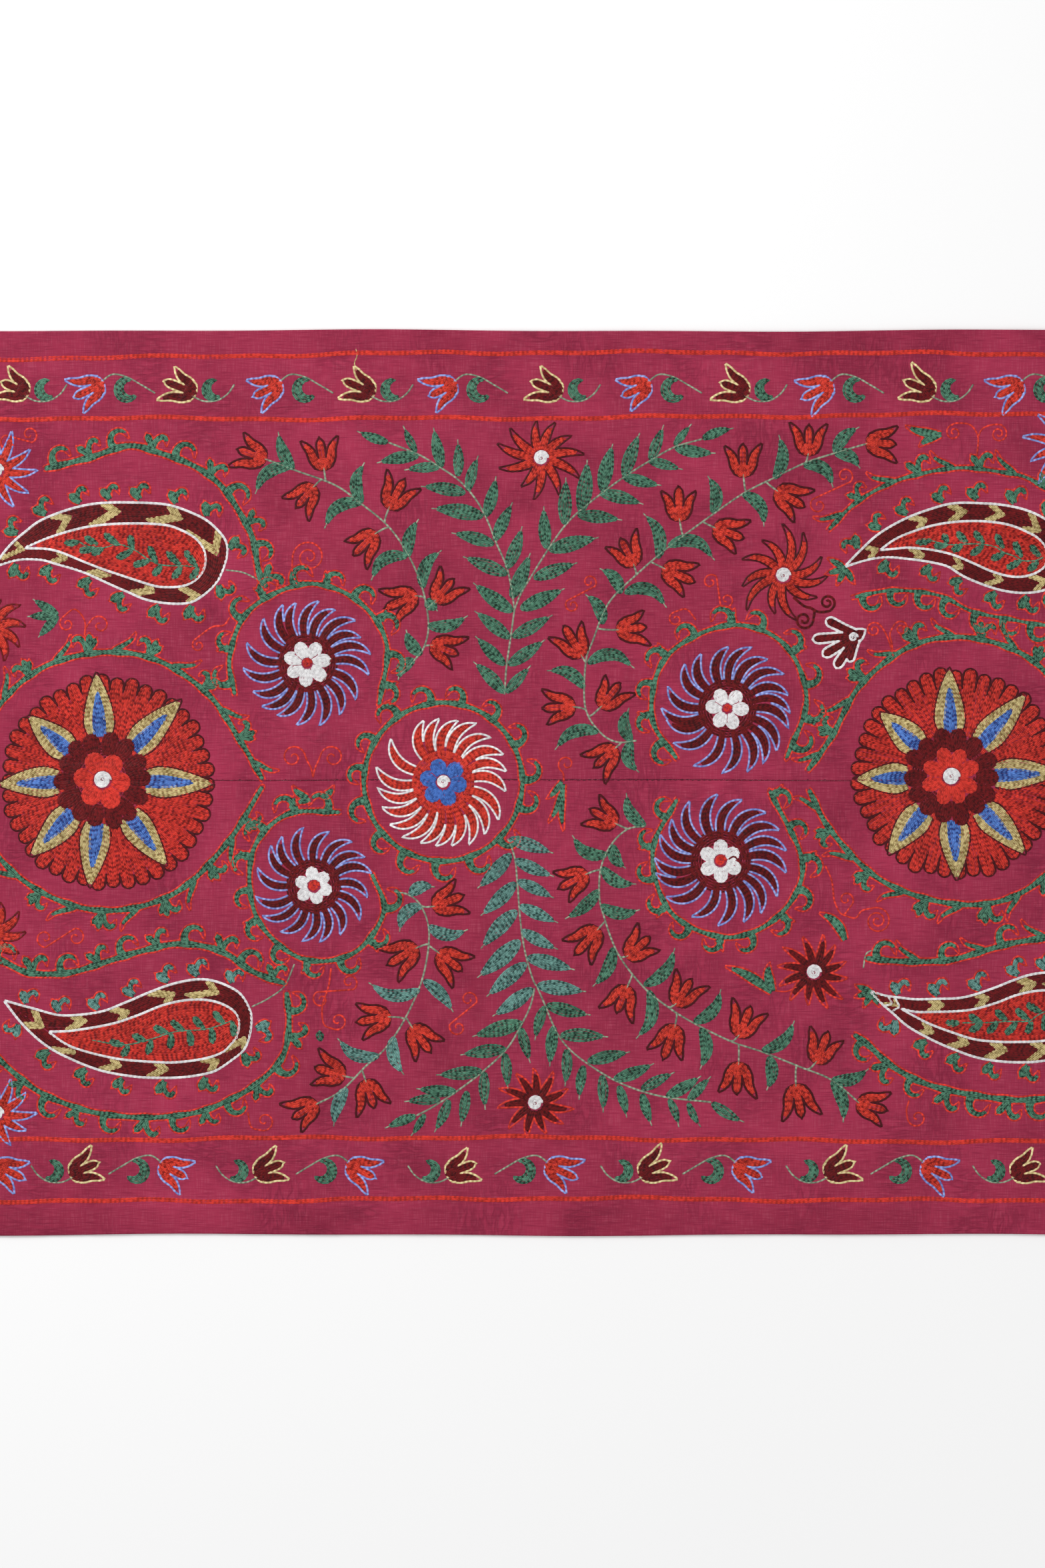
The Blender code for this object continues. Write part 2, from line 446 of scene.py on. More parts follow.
def rosette(piece, at, tips, middle, radius, depth, petals):
    # A disc of long scallops round a middle of its own, eight two-coloured petals each with its tip,
    # a dark lobed ring, a flower and a white eye; the depth is that of the notches between scallops
    ringRadius, flowerRadius, eye = (rosetteLook[name] for name in ("ring", "flower", "eye"))
    turn = heading(tips[0] - at)
    golden, blues = rosettePetals(at, tips)
    goldShapes = [outlineOf(part) for part in golden]
    blueShapes = [outlineOf(part, rosetteLook["blueInset"]) for part in blues]
    lobes = []
    for number in range(rosetteLook["lobes"]):
        angle = turn + 12.0 + 360.0 * number / rosetteLook["lobes"] + dice.uniform(-3, 3)
        far = ringRadius * dice.uniform(0.94, 1.05)
        points = [(flowerRadius * rosetteLook["lobeStart"], 0), (far, 0)]
        lobes.append(placed(petal(points, rosetteLook["lobe"], 36), at, angle))
    lobeShapes = [outlineOf(part) for part in lobes]
    flower = lobedHeart(piece, at, flowerRadius, petals, "madderRed", turn + 20.0, eye)
    for number, part in enumerate(lobes):
        sew(piece, "oxblood", cutRows(fillRows(part), outside=lobeShapes[:number] + flower))
    starts, ends = flowerRadius * rosetteLook["ringsStart"], ringRadius * rosetteLook["ringsEnd"]
    rings = [disc(at, far) for far in np.arange(starts, ends, chain["rowPitch"])]
    sew(piece, "oxblood", cutRows(rings, outside=flower), None, rosetteLook["ringsLift"])
    for number in range(len(golden)):
        blueRows = cutRows(fillRows(blues[number]), outside=lobeShapes)
        sew(piece, "cornflower", blueRows, None, rosetteLook["blueLift"])
        goldRows = cutRows(fillRows(golden[number]), outside=lobeShapes + [blueShapes[number]])
        sew(piece, "straw", goldRows)
        rim = cutRows([hairpin(golden[number], -1.0)], outside=lobeShapes)
        sew(piece, "umber", rim, rosetteLook["goldenRim"], rosetteLook["goldenRimLift"])
    spread = math.tan(math.pi / rosetteLook["scallops"])
    start, end = rosetteLook["scallopStart"], rosetteLook["scallopEnd"]
    covered = goldShapes + lobeShapes + [disc(at, ringRadius * rosetteLook["scallopMiddle"])]
    for number in range(rosetteLook["scallops"]):
        far = radius * dice.uniform(0.95, 0.995)
        r = start + (far - start) * np.linspace(0.0, 1.0, 44)
        roundEnd = np.sqrt(np.clip(1.0 - np.clip((r - (far - end)) / end, 0, 1) ** 2, 0, 1))
        notched = 1.0 - rosetteLook["slimmer"] * np.clip((r - (far - depth - 14.0)) / depth, 0, 1)
        shape = {"spine": np.column_stack([r, np.zeros(44)]), "half": r * spread * roundEnd * notched}
        part = placed(shape, middle, turn + 360.0 * number / rosetteLook["scallops"])
        sew(piece, "madderRed", cutRows(fillRows(part), outside=covered))
        rim = hairpin(part, -1.3)
        rim = rim[np.hypot(*(rim - middle).T) > far - depth - rosetteLook["rimReach"]]
        sew(piece, "umber", cutRows([rim], outside=goldShapes), rosetteLook["scallopRim"],
            chain["raised"])
    white = spiralRow(at, eye + 0.6, heartLook["pitch"])
    sew(piece, "ivory", [white], heartLook["dotWidth"], chain["raised"])


# Leaves, vines and hooks

leafLook = {
    "spine": [(0, 0), (0.3, 0.85), (0.65, 0.95), (1, 0)],  # shares of the length and of the bend
    # Half widths along it, as shares of the widest
    "widths": [(0.12, 0.66), (0.38, 1.0), (0.62, 0.86), (0.86, 0.4), (1, 0)],
    "tip": 2.2,  # width of the pale thread at the tip
    "sprayHalf": 9.9, "sprayBend": 1.5,
    "branchHalf": 0.155,  # half the width, as a share of the length
}


def leaf(piece, base, tip, half, bend=0.0, fill="leafGreen", tail=2.5):
    # Pointed at both ends and widest below its middle; the bend bows it to the left
    base, tip = np.asarray(base, float), np.asarray(tip, float)
    length = float(np.linalg.norm(tip - base))
    points = [(length * u, bend * v) for u, v in leafLook["spine"]]
    widths = [(0, 1.0)] + [(share, half * wide) for share, wide in leafLook["widths"]]
    shape = placed(petal(points, widths), base, heading(tip - base))
    sew(piece, fill, fillRows(shape))
    out = unit(tip - shape["spine"][-4])
    sew(piece, "sage", [np.vstack([shape["spine"][-6:], tip + out * tail])], leafLook["tip"])


# Each part of a hook: its spine, and its half widths along it
hookCut = {
    "curl": ([(-6, -2), (-8, 8), (-4, 18), (6, 22), (15, 18), (19, 9)],
             [(0, 6.2), (0.2, 4.6), (0.45, 3.4), (0.7, 2.5), (0.9, 1.5), (1, 0)]),
    "lobe": ([(-3, 4), (-8, 11), (-13, 18)], [(0, 3), (0.5, 3.4), (0.85, 2.4), (1, 0)]),
    "twig": ([(9, -1), (2, 4), (-8, 10), (-17, 17), (-22, 26)],
             [(0, 3.2), (0.3, 3.2), (0.65, 2.3), (0.9, 1.3), (1, 0)]),
    "ear": ([(4, -2), (-3, 7), (-12, 17)], [(0, 4.8), (0.4, 4.2), (0.78, 4.6), (0.94, 2.8), (1, 0)]),
    "bud": ([(0, 0), (-2, 12), (-4, 24)], [(0, 4.6), (0.4, 3.8), (0.76, 4.4), (0.94, 2.8), (1, 0)]),
    "fall": ([(2, 0), (4, 12), (10, 20), (17, 19), (20, 12)],
             [(0, 4.4), (0.35, 3.3), (0.65, 3.5), (0.88, 2.0), (1, 0)]),
    "bean": ([(5, 0), (-1, 8), (-8, 16)], [(0, 3.2), (0.3, 5.6), (0.66, 6.2), (0.9, 4.2), (1, 0)]),
    "crest": ([(3, 4), (4, 13), (9, 20), (15, 19), (19, 11)],
              [(0, 3.2), (0.4, 3.3), (0.65, 3.4), (0.88, 2.0), (1, 0)]),
}
hookKinds = {
    "single": ("curl",),
    "double": ("curl", "lobe"),
    "sprig": ("bean", "crest"),
    "twig": ("twig",),
    "crown": ("ear", "fall"),
    "trident": ("ear", "bud", "fall"),
}


def hooks(kind, at, turn, size, flip):
    # One to three curls that stand out from a vine or a boteh
    return [placed(petal(*hookCut[name], 30), at, turn, size, flip) for name in hookKinds[kind]]


vineLook = {
    "end": 0.6,  # half width at an open end
    "swell": 1.6, "swellReach": 11.0,  # how much a stem swells at a hook, and how far
    "pitch": 3.2,
    "rimWidth": 2.8, "rimGap": 0.5, "rimTail": 5.0,
    "lastHook": 12.0,  # no hook nearer than this to the end
    "uneven": 0.12,  # how much the hooks' distances differ
}


def vine(piece, points, side=1, every=46.0, first=24.0, closed=False, half=2.7, forward=1,
        kinds=("single",)):
    # A green core between two red chains, swelling at each hook along its outer side
    spine = smooth(points, closed)
    length = lengths(spine)[-1]
    samples = max(40, int(length / 3.5))
    end = half if closed else vineLook["end"]
    widths = [(0, end), (0.04, half), (0.5, half), (0.96, half), (1, end)]
    stem = petal(spine[::7] if closed else points, widths, samples)
    stem["spine"] = evenly(spine, samples)
    far = lengths(stem["spine"])
    normal = sideways(stem["spine"])
    shapes = [stem]
    reached = first
    number = 0
    while reached < length - vineLook["lastHook"]:
        index = min(int(np.searchsorted(far, reached)), samples - 2)
        along = stem["spine"][index + 1] - stem["spine"][index]
        root = stem["spine"][index] + normal[index] * side * (half - 0.6)
        kind = kinds[number % len(kinds)]
        shapes += hooks(kind, root, heading(along * forward), dice.uniform(0.9, 1.12), side * forward)
        swell = vineLook["swell"] * np.exp(-(((far - reached) / vineLook["swellReach"]) ** 2))
        stem["half"] = stem["half"] + swell * (stem["half"] > 1.0)
        number += 1
        reached += every * dice.uniform(1.0 - vineLook["uneven"], 1.0 + vineLook["uneven"])
    sewRimmed(piece, shapes, "leafGreen", vineLook["rimWidth"], vineLook["rimTail"])


def sewRimmed(piece, shapes, fill, rimWidth, tail, holes=()):
    # Green shapes with one red chain around them all
    pitch, gap = vineLook["pitch"], vineLook["rimGap"]
    sewShapes(piece, shapes, fill, "madderRed", rimWidth, tail=tail, holes=holes, pitch=pitch, gap=gap)


def stalk(piece, points, width=3.1):
    sew(piece, "sage", [smooth(points)], width)


def branch(piece, stem, leaves, fill):
    # A stem and its leaves, each from its base to its tip
    stalk(piece, spots(stem))
    for x, y, tipX, tipY in leaves:
        base, tip = spots([(x, y), (tipX, tipY)])
        length = float(np.linalg.norm(tip - base))
        leaf(piece, base, tip, length * leafLook["branchHalf"], dice.uniform(-2, 2), fill)


def spray(piece, points, leaves, flowers, fill):
    # A stem with leaves, each from its base to its tip with a bend, and tulips on short stalks
    curve = smooth(points)
    even = evenly(curve, int(lengths(curve)[-1] / 2))
    stalk(piece, points)
    for x, y, tipX, tipY, bend in leaves:
        base, tip = spots([(x, y), (tipX, tipY)])
        leaf(piece, base, tip, leafLook["sprayHalf"], bend * leafLook["sprayBend"], fill)
    for x, y, turn in flowers:
        base = spots([(x, y)])[0]
        tulip(piece, base, turn, dice.uniform(0.87, 0.95))
        gap = np.hypot(*(even - base).T)
        nearest = int(np.argmin(gap))
        if gap[nearest] > 3.0:
            root = even[max(0, nearest - 5)]
            bow = (base + root) / 2 - (place([(5, 0)], base, turn)[0] - base)
            stalk(piece, [root, bow, base])


def coil(at, radius, start, turns, direction):
    # A spiral from its rim, at the start angle in degrees, to its middle
    t = np.linspace(0.0, 1.0, int(26 * turns) + 6)
    r = radius + (2.6 - radius) * t
    angle = math.radians(start) + direction * 2 * math.pi * turns * t
    return np.column_stack([at[0] + r * np.cos(angle), at[1] + r * np.sin(angle)])


curlLook = {
    "width": 2.95,
    "scrollTurns": 1.15, "tendrilTurns": 1.2,
    "leafWidths": [(0, 0.5), (0.35, 1.0), (0.65, 0.8), (0.88, 0.35), (1, 0)],
    "leafRim": 2.9, "leafTail": 4.0,
}


def scroll(piece, first, second, radius, flip=1):
    # Two spirals joined in an S
    a, b = spots([first, second])
    axis = heading(b - a)
    turns = curlLook["scrollTurns"]
    start = coil(a, radius, axis + 90 * flip, turns, flip)[::-1]
    row = np.vstack([start, coil(b, radius, axis - 90 * flip, turns, flip)])
    sew(piece, "madderRed", [row], curlLook["width"])


def tendril(piece, at, radius, stem, direction, turns=curlLook["tendrilTurns"], thread="madderRed",
        width=None):
    # A spiral at the end of a stem, which reaches its rim at a tangent
    middle = spots([at])[0]
    stem = spots(stem)
    way = middle - stem[-1]
    share = min(1.0, radius / max(np.linalg.norm(way), radius))
    start = heading(-way) + direction * math.degrees(math.acos(share))
    curl = coil(middle, radius, start, turns, direction)
    lead = smooth(np.vstack([stem, curl[:1]]))
    sew(piece, thread, [np.vstack([lead[:-1], curl])], width or curlLook["width"])


def sprigLeaves(piece, leaves, half):
    # Small leaves that share a base, each from its base to its tip, in one red outline
    shapes = []
    for x, y, tipX, tipY, bend in leaves:
        base, tip = spots([(x, y), (tipX, tipY)])
        length = float(np.linalg.norm(tip - base))
        points = [(0, 0), (length * 0.35, bend * 0.9), (length * 0.7, bend * 0.9), (length, 0)]
        widths = [(share, half * wide) for share, wide in curlLook["leafWidths"]]
        shapes.append(placed(petal(points, widths), base, heading(tip - base)))
    sewRimmed(piece, shapes, "leafGreen", curlLook["leafRim"], curlLook["leafTail"])


# The boteh: a drop with a curved tail, a dark band with straw chevrons, and a red field with leaves

botehCuts = {
    "upper": {
        "outer": ([(0, 0), (28, 20), (55, 32), (88, 40), (148, 41), (213, 29), (270, 15), (320, 4),
            (346, -5)],
                  [(0, 0.5), (0.1, 12.5), (0.18, 23), (0.27, 36), (0.44, 54), (0.62, 68), (0.73, 73),
                   (0.86, 66), (0.93, 52), (0.975, 33), (1, 0)]),
        "inner": ([(46, 28), (88, 35), (139, 33), (213, 23), (270, 12), (318, 0)],
                  [(0, 0.5), (0.155, 10.5), (0.34, 27), (0.5, 37), (0.72, 46), (0.82, 44), (0.91, 36),
                   (0.97, 21), (1, 0)]),
        "arrows": ((47, 25, -10, 11), (117, 76, 26, 15), (191, 82, -2, 19), (284, 70, -24, 20),
            (335, 15, -66, 18), (112, 11, -14, 15), (178, -14, -24, 25), (243, -40, -26, 18),
            (312, -44, 4, 17)),
        "stem": ((127, 37), (141, 30), (163, 28), (183, 33), (199, 30), (215, 22), (234, 9), (253, 2),
            (282, 1), (304, 0)),
        "leaves": ((127, 37, 105, 36), (155, 33, 136, 45), (151, 28, 127, 24), (187, 32, 165, 50),
            (163, 28, 146, 19), (208, 26, 204, 47), (208, 26, 183, 12), (244, 5, 232, 31),
            (233, 10, 208, 2), (279, 2, 259, 23), (250, 2, 238, -13), (304, 0, 286, 24),
            (280, 0, 267, -18), (306, -1, 294, -19)),
        "sprigs": ((24, 55), (64, 93), (121, 107), (168, 113), (213, 113), (270, 107), (316, 81),
            (356, 33), (347, -43), (294, -74), (240, -74), (184, -50), (134, -30), (76, -14), (32, -14)),
    },
    "lower": {
        "outer": ([(0, 0), (36, -24), (74, -45), (111, -55), (154, -60), (196, -57), (237, -50),
            (308, -36), (361, -32), (374, -32)],
                  [(0, 0.5), (0.11, 14.5), (0.22, 25), (0.32, 35), (0.43, 46.5), (0.54, 58), (0.65, 67),
                   (0.74, 71), (0.83, 69), (0.91, 55), (0.965, 37), (1, 0)]),
        "inner": ([(67, -47), (105, -57), (162, -60), (207, -56), (280, -44), (330, -41), (354, -44)],
                  [(0, 0.5), (0.135, 13), (0.33, 25.5), (0.49, 35.5), (0.62, 43.5), (0.74, 45.5),
                   (0.84, 42.5), (0.92, 34), (0.975, 19), (1, 0)]),
        "arrows": ((61, -42, -35, 17), (126, -30, 2, 19), (190, -15, 20, 16), (258, 13, 28, 18),
            (324, 10, -24, 17), (362, -52, 62, 15), (108, -81, -40, 15), (178, -99, -18, 17),
            (249, -103, -5, 18), (325, -88, 24, 16)),
        "stem": ((132, -59), (179, -66), (218, -58), (246, -49), (266, -45), (305, -42), (341, -30)),
        "leaves": ((179, -66, 158, -60), (186, -66, 176, -84), (212, -60, 192, -50), (220, -58, 214, -80),
            (246, -49, 224, -38), (250, -48, 248, -72), (270, -45, 250, -30), (276, -44, 280, -68),
            (300, -42, 284, -24), (310, -40, 312, -64), (330, -34, 314, -16), (341, -30, 345, -54)),
        "sprigs": ((30, 2), (80, -2), (134, 0), (184, 22), (236, 42), (284, 56), (342, 44), (392, -40),
            (370, -92), (300, -125), (236, -130), (172, -122), (114, -112), (58, -82), (20, -42)),
    },
    "upperRight": {
        "outer": ((0, 0, 0.5), (27, 17, 8.4), (58, 32, 19), (94, 41, 30.6), (133, 46, 41), (167, 46, 50),
            (204, 37, 59), (244, 27, 63), (277, 18, 59.5), (303, 11, 49.5), (323, 7, 32), (331, 5, 18),
            (335, 5, 0)),
        "inner": ((53, 25, 0.5), (74, 33, 6.7), (96, 39, 11), (132, 43, 18.6), (167, 42, 25.5),
            (201, 36, 32.6), (231, 28, 37), (258, 20, 36), (280, 17, 30), (294, 16, 21), (301, 16, 12),
            (304, 16, 0)),
        "arrows": ((52, 27, 20, 12), (125, 72, 22, 14), (185, 83, 6, 17), (241, 77, -10, 14),
            (295, 51, -34, 15), (322, -14, -72, 14), (122, 17, 0, 16), (180, -3, -25, 13),
            (239, -22, -17, 13), (305, -20, 14, 13)),
        "stem": ((129, 39), (151, 33), (171, 33), (191, 34), (208, 33), (226, 29), (238, 21), (252, 16),
            (265, 9), (285, 9), (297, 14)),
        "leaves": ((129, 40, 106, 36), (154, 36, 148, 49), (153, 33, 133, 31), (183, 36, 168, 52),
            (175, 33, 160, 24), (208, 35, 194, 53), (207, 32, 188, 18), (237, 27, 227, 49),
            (238, 21, 219, 11), (265, 14, 254, 38), (264, 10, 242, -2), (293, 15, 278, 32),
            (289, 8, 274, -6)),
        "sprigs": ((15, 36), (44, 62), (84, 87), (139, 106), (192, 110), (250, 104), (300, 82), (336, 44),
            (344, -18), (306, -52), (269, -55), (220, -42), (168, -21), (122, -8), (59, -5)),
    },
    "lowerRight": {
        "outer": ((0, 0, 0.5), (19, -12, 6.4), (41, -22, 13.6), (66, -33, 22.4), (96, -41, 30.8),
            (130, -48, 39), (164, -51, 49), (198, -49, 57), (229, -44, 63), (258, -38, 65.5),
            (289, -34, 62.5), (316, -32, 51), (335, -31, 33), (343, -31, 19), (347, -31, 0)),
        "inner": ((46, -26, 0.5), (67, -34, 3.6), (92, -40, 9.6), (128, -46, 16.7), (160, -49, 23.5),
            (195, -46, 30), (228, -40, 36), (258, -36, 37.7), (286, -32, 33), (304, -31, 24),
            (314, -31, 14), (318, -31, 0)),
        "arrows": ((43, -23, -38, 9), (113, -20, 2, 19), (181, -9, 12, 16), (251, 13, 12, 20),
            (320, 5, -32, 17), (334, -62, 60, 14), (97, -63, -24, 16), (150, -80, -20, 17),
            (208, -88, -4, 19), (271, -86, 4, 18)),
        "crossings": (((26, -7), (33, -19), (22, -21)), ((36, -9), (44, -23), (33, -29))),
        "stem": ((137, -47), (167, -47), (189, -46), (202, -45), (220, -45), (238, -44), (250, -36),
            (260, -31), (284, -25), (300, -21)),
        "leaves": ((133, -47, 113, -46), (167, -47, 148, -35), (167, -47, 148, -60), (190, -45, 175, -62),
            (204, -43, 188, -28), (219, -46, 202, -64), (238, -43, 218, -26), (241, -44, 234, -63),
            (256, -31, 234, -18), (261, -34, 260, -59), (280, -26, 268, -8), (284, -26, 280, -50),
            (300, -21, 288, -4)),
        "sprigs": ((38, 2), (96, 0), (154, 20), (210, 42), (256, 52), (308, 44), (358, -8), (350, -76),
            (296, -118), (232, -124), (176, -120), (122, -108), (72, -86), (34, -54)),
    },
}


botehLook = {
    "white": 3.84,  # width of the white lines
    "crossing": 3.4,  # of the lines across the tail
    "bandInset": 2.4,
    "bandRows": 8,
    "chevronSlope": 1.5,  # how far an arrow's arms go back for each pixel sideways
    "chevronTrim": 2.2,  # an arrow stops this near the white lines' middles
    "leafWidths": [(0, 2.2), (0.25, 4.6), (0.55, 5.8), (0.82, 5.0), (0.95, 3.2), (1, 0)],
    "leafPitch": 3.6,
    "stemWidth": 2.4, "stemLift": 0.0003,
    "sprigFoot": 5.0, "sprigRim": 2.9,
}


def drop(cut, samples):
    # Either a spine and its widths, or stations that each give the spine's place and its half width
    if len(cut) == 2:
        return petal(*cut, samples)
    stations = np.array(cut, float)
    share = lengths(stations[:, :2])
    return petal(stations[:, :2], np.column_stack([share / share[-1], stations[:, 2]]), samples)


def sides(shape, inset):
    # A hairpin's two sides, each with the point at the shape's end
    row = hairpin(shape, inset)
    far = np.hypot(*(row - shape["spine"][-1]).T)
    middle = int(np.argmin(far))
    return row[:middle + 1], row[middle:]


def chevron(tip, turn, thick, half):
    # An arrow with its arms going back: its rows, from arm to arm, and its outline
    back = botehLook["chevronSlope"] * half
    count = max(2, int(round(thick / chain["rowPitch"])))
    places = (np.arange(count) + 0.5) * thick / count
    rows = [place([(-far - back, half), (-far, 0), (-far - back, -half)], tip, turn) for far in places]
    corners = [(0, 0), (-back, half), (-back - thick, half), (-thick, 0), (-back - thick, -half),
        (-back, -half)]
    return rows, place(corners, tip, turn)


def botehBand(piece, cut, tip, outer, inner):
    # The band between two outlines: straw arrows, and dark rows that follow the outer outline inwards
    outerShape, innerShape = outlineOf(outer), outlineOf(inner)
    arrows, points = [], []
    for x, y, angle, thick in cut["arrows"]:
        at = place([(x, y)], tip)[0]
        half = 3.0 + 1.3 * max(np.hypot(*(shape - at).T).min() for shape in (outerShape, innerShape))
        rows, outline = chevron(at, angle, thick, half)
        points += rows
        arrows.append(outline)
    trim = botehLook["chevronTrim"]
    sew(piece, "straw", cutRows(points, outside=[outlineOf(inner, -trim)],
        within=[outlineOf(outer, trim)]))
    inset = botehLook["bandInset"]
    outerRim = np.vstack([evenly(side, 90) for side in sides(outer, inset)])
    innerRim = np.vstack([evenly(side, 90) for side in sides(inner, -inset)])
    count = botehLook["bandRows"]
    band = [outerRim + (innerRim - outerRim) * (number + 0.5) / count for number in range(count)]
    band.append(np.array([outerRim[0], innerRim[0]]))
    sew(piece, "oxblood", cutRows(band, outside=arrows))


def botehField(piece, cut, tip, inner):
    # The red field with a stem and its leaves
    leaves = []
    for x, y, tipX, tipY in cut["leaves"]:
        foot, end = place([(x, y), (tipX, tipY)], tip)
        reach = float(np.linalg.norm(end - foot))
        shape = petal([(0, 0), (reach * 0.5, 1), (reach, 0)], botehLook["leafWidths"], 24)
        leaves.append(placed(shape, foot, heading(end - foot)))
    leafShapes = [outlineOf(shape, 1.0) for shape in leaves]
    sew(piece, "madderRed", cutRows(fillRows(inner, 1.8), outside=leafShapes))
    for number, shape in enumerate(leaves):
        rows = fillRows(shape, 0.0, botehLook["leafPitch"])
        sew(piece, "leafGreen", cutRows(rows, outside=leafShapes[:number]), None, chain["raised"])
    stem = smooth(place(cut["stem"], tip))
    sew(piece, "leafGreen", [stem], botehLook["stemWidth"], botehLook["stemLift"])


def boteh(piece, at, kind, greens=("leafGreen", "leafGreen")):
    # A white line round a band and a field, and sprigs all round, in one green above and one below
    tip = spots([at])[0]
    cut = botehCuts[kind]
    outer = placed(drop(cut["outer"], 90), tip)
    inner = placed(drop(cut["inner"], 80), tip)
    outerShape = outlineOf(outer)
    white = botehLook["white"]
    sew(piece, "ivory", [hairpin(outer, 0.0, 1.0)], white, chain["raised"])
    sew(piece, "ivory", [np.vstack([hairpin(inner, 0.0, 1.0), inner["spine"][:1]])], white,
        chain["raised"])
    crossings = [place(line, tip) for line in cut.get("crossings", ())]
    sew(piece, "ivory", crossings, botehLook["crossing"], 2 * chain["raised"])
    botehBand(piece, cut, tip, outer, inner)
    botehField(piece, cut, tip, inner)
    edge = smooth(outerShape[::6], True)
    centre = outer["spine"][len(outer["spine"]) * 2 // 3]
    for x, y in cut["sprigs"]:
        end = place([(x, y)], tip)[0]
        foot = edge[int(np.argmin(np.hypot(*(edge - end).T)))]
        upwards = foot[1] > centre[1]
        out = unit(end - foot)
        turned = heading(out) + (-90.0 if upwards else 90.0)
        root = foot + out * botehLook["sprigFoot"]
        shapes = hooks("sprig", root, turned, dice.uniform(0.92, 1.08), 1.0 if upwards else -1.0)
        green = greens[0 if upwards else 1]
        sewRimmed(piece, shapes, green, botehLook["sprigRim"], vineLook["rimTail"], [outerShape])


# Border

borderLook = {
    "waves": ((1.6, 61.0), (1.0, 23.0)),  # a line's waver: heights and lengths
    "twin": 1.6,  # each of a line's two rows lies this far from its middle
    "rowWidth": 3.7, "stemWidth": 2.8,
    "size": 0.92, "edgeWidth": 3.3,
    # The dark tulip looks up and back, its stem running forwards under a crescent
    "dark": {
        "base": (24, -7), "turn": 157, "fill": "oxblood", "edge": "cream",
        "stem": [(22, -12), (40, -20), (60, -19), (76, -9), (86, 5)],
        "crescent": ((57, -2), 13.0, -52, -300),  # middle, radius, start and end in degrees
        "widths": [(0, 1.6), (0.25, 6.6), (0.5, 7.6), (0.8, 4.2), (1, 0)],
    },
    # The other looks down and back, its stem arching forwards over a hanging crescent
    "bright": {
        "base": (23, 5), "turn": 206, "fill": "poppyRed", "edge": "periwinkle",
        "stem": [(22, 8), (40, 20), (62, 16), (84, 4), (104, -8)],
        "crescent": ((64, -2), 14.5, 62, 345),
        "widths": [(0, 1.6), (0.25, 6.2), (0.55, 8.2), (0.82, 4.6), (1, 0)],
    },
}


def borderLine(piece, points):
    # Two rows side by side, slightly wavy
    curve = smooth(spots(points))
    even = evenly(curve, int(lengths(curve)[-1] / 8))
    far = lengths(even)
    waves = borderLook["waves"]
    waver = sum(height * np.sin(far / length + dice.uniform(0, 6)) for height, length in waves)
    normal = sideways(even)
    for side in (-borderLook["twin"], borderLook["twin"]):
        sew(piece, "madderRed", [even + normal * (waver + side)[:, None]], borderLook["rowWidth"])


def borderTulip(piece, kind, spot, turn, flip):
    # A tulip, its stem and the crescent beside it
    at = spots([spot])[0]
    form = borderLook[kind]
    base = place([form["base"]], at, turn, 1, flip)[0]
    tulip(piece, base, turn + flip * form["turn"], borderLook["size"], form["fill"], form["edge"],
        borderLook["edgeWidth"])
    stalk(piece, place(form["stem"], at, turn, 1, flip), borderLook["stemWidth"])
    spot, radius, start, end = form["crescent"]
    middle = place([spot], at, turn, 1, flip)[0]
    spine = place(arc((0, 0), radius, start, end, 14), middle, turn, 1, flip)
    sew(piece, "leafGreen", fillRows(petal(spine, form["widths"])))


# Each band: its direction in degrees, its side, and where its flowers are along it
borderPlan = {
    "border_upper": {
        "y": 582, "turn": 0, "flip": 1,
        "dark": (15, 266, 534, 815, 1095, 1374, 1652),
        "bright": (-152, 129, 396, 658, 949, 1222, 1508),
    },
    "border_lower": {
        "y": 1753, "turn": 180, "flip": -1,
        "dark": (-110, 133, 410, 698, 987, 1265, 1545),
        "bright": (20, 267, 548, 846, 1128, 1410, 1700),
    },
    "border_left": {"x": -162, "turn": 90},
    "border_right": {"x": 1738, "turn": 270},
}
endFlowers = (728, 868, 1006, 1146, 1284, 1424, 1562)  # their y, bright and dark in turn
borderLines = (
    ("border_upper", [(-207, 535), (100, 538), (420, 533), (788, 529), (1200, 530), (1783, 532)]),
    ("border_upper", [(-117, 627), (200, 628), (640, 628), (1100, 625), (1693, 619)]),
    ("border_lower", [(-207, 1800), (300, 1801), (800, 1797), (1300, 1800), (1783, 1798)]),
    ("border_lower", [(-117, 1712), (300, 1708), (780, 1706), (1250, 1711), (1693, 1712)]),
    ("border_left", [(-207, 535), (-209, 900), (-206, 1400), (-207, 1800)]),
    ("border_left", [(-117, 627), (-116, 1000), (-119, 1400), (-117, 1712)]),
    ("border_right", [(1783, 532), (1785, 950), (1782, 1400), (1783, 1798)]),
    ("border_right", [(1693, 619), (1691, 1000), (1694, 1400), (1693, 1712)]),
)


def makeBorder():
    for name in ("border_upper", "border_lower"):
        band = borderPlan[name]
        for kind in ("dark", "bright"):
            for x in band[kind]:
                borderTulip(name, kind, (x, band["y"]), band["turn"], band["flip"])
    for name in ("border_left", "border_right"):
        band = borderPlan[name]
        for number, y in enumerate(endFlowers):
            borderTulip(name, "dark" if number % 2 else "bright", (band["x"], y), band["turn"], 1)
    for name, points in borderLines:
        borderLine(name, points)


# The whole design

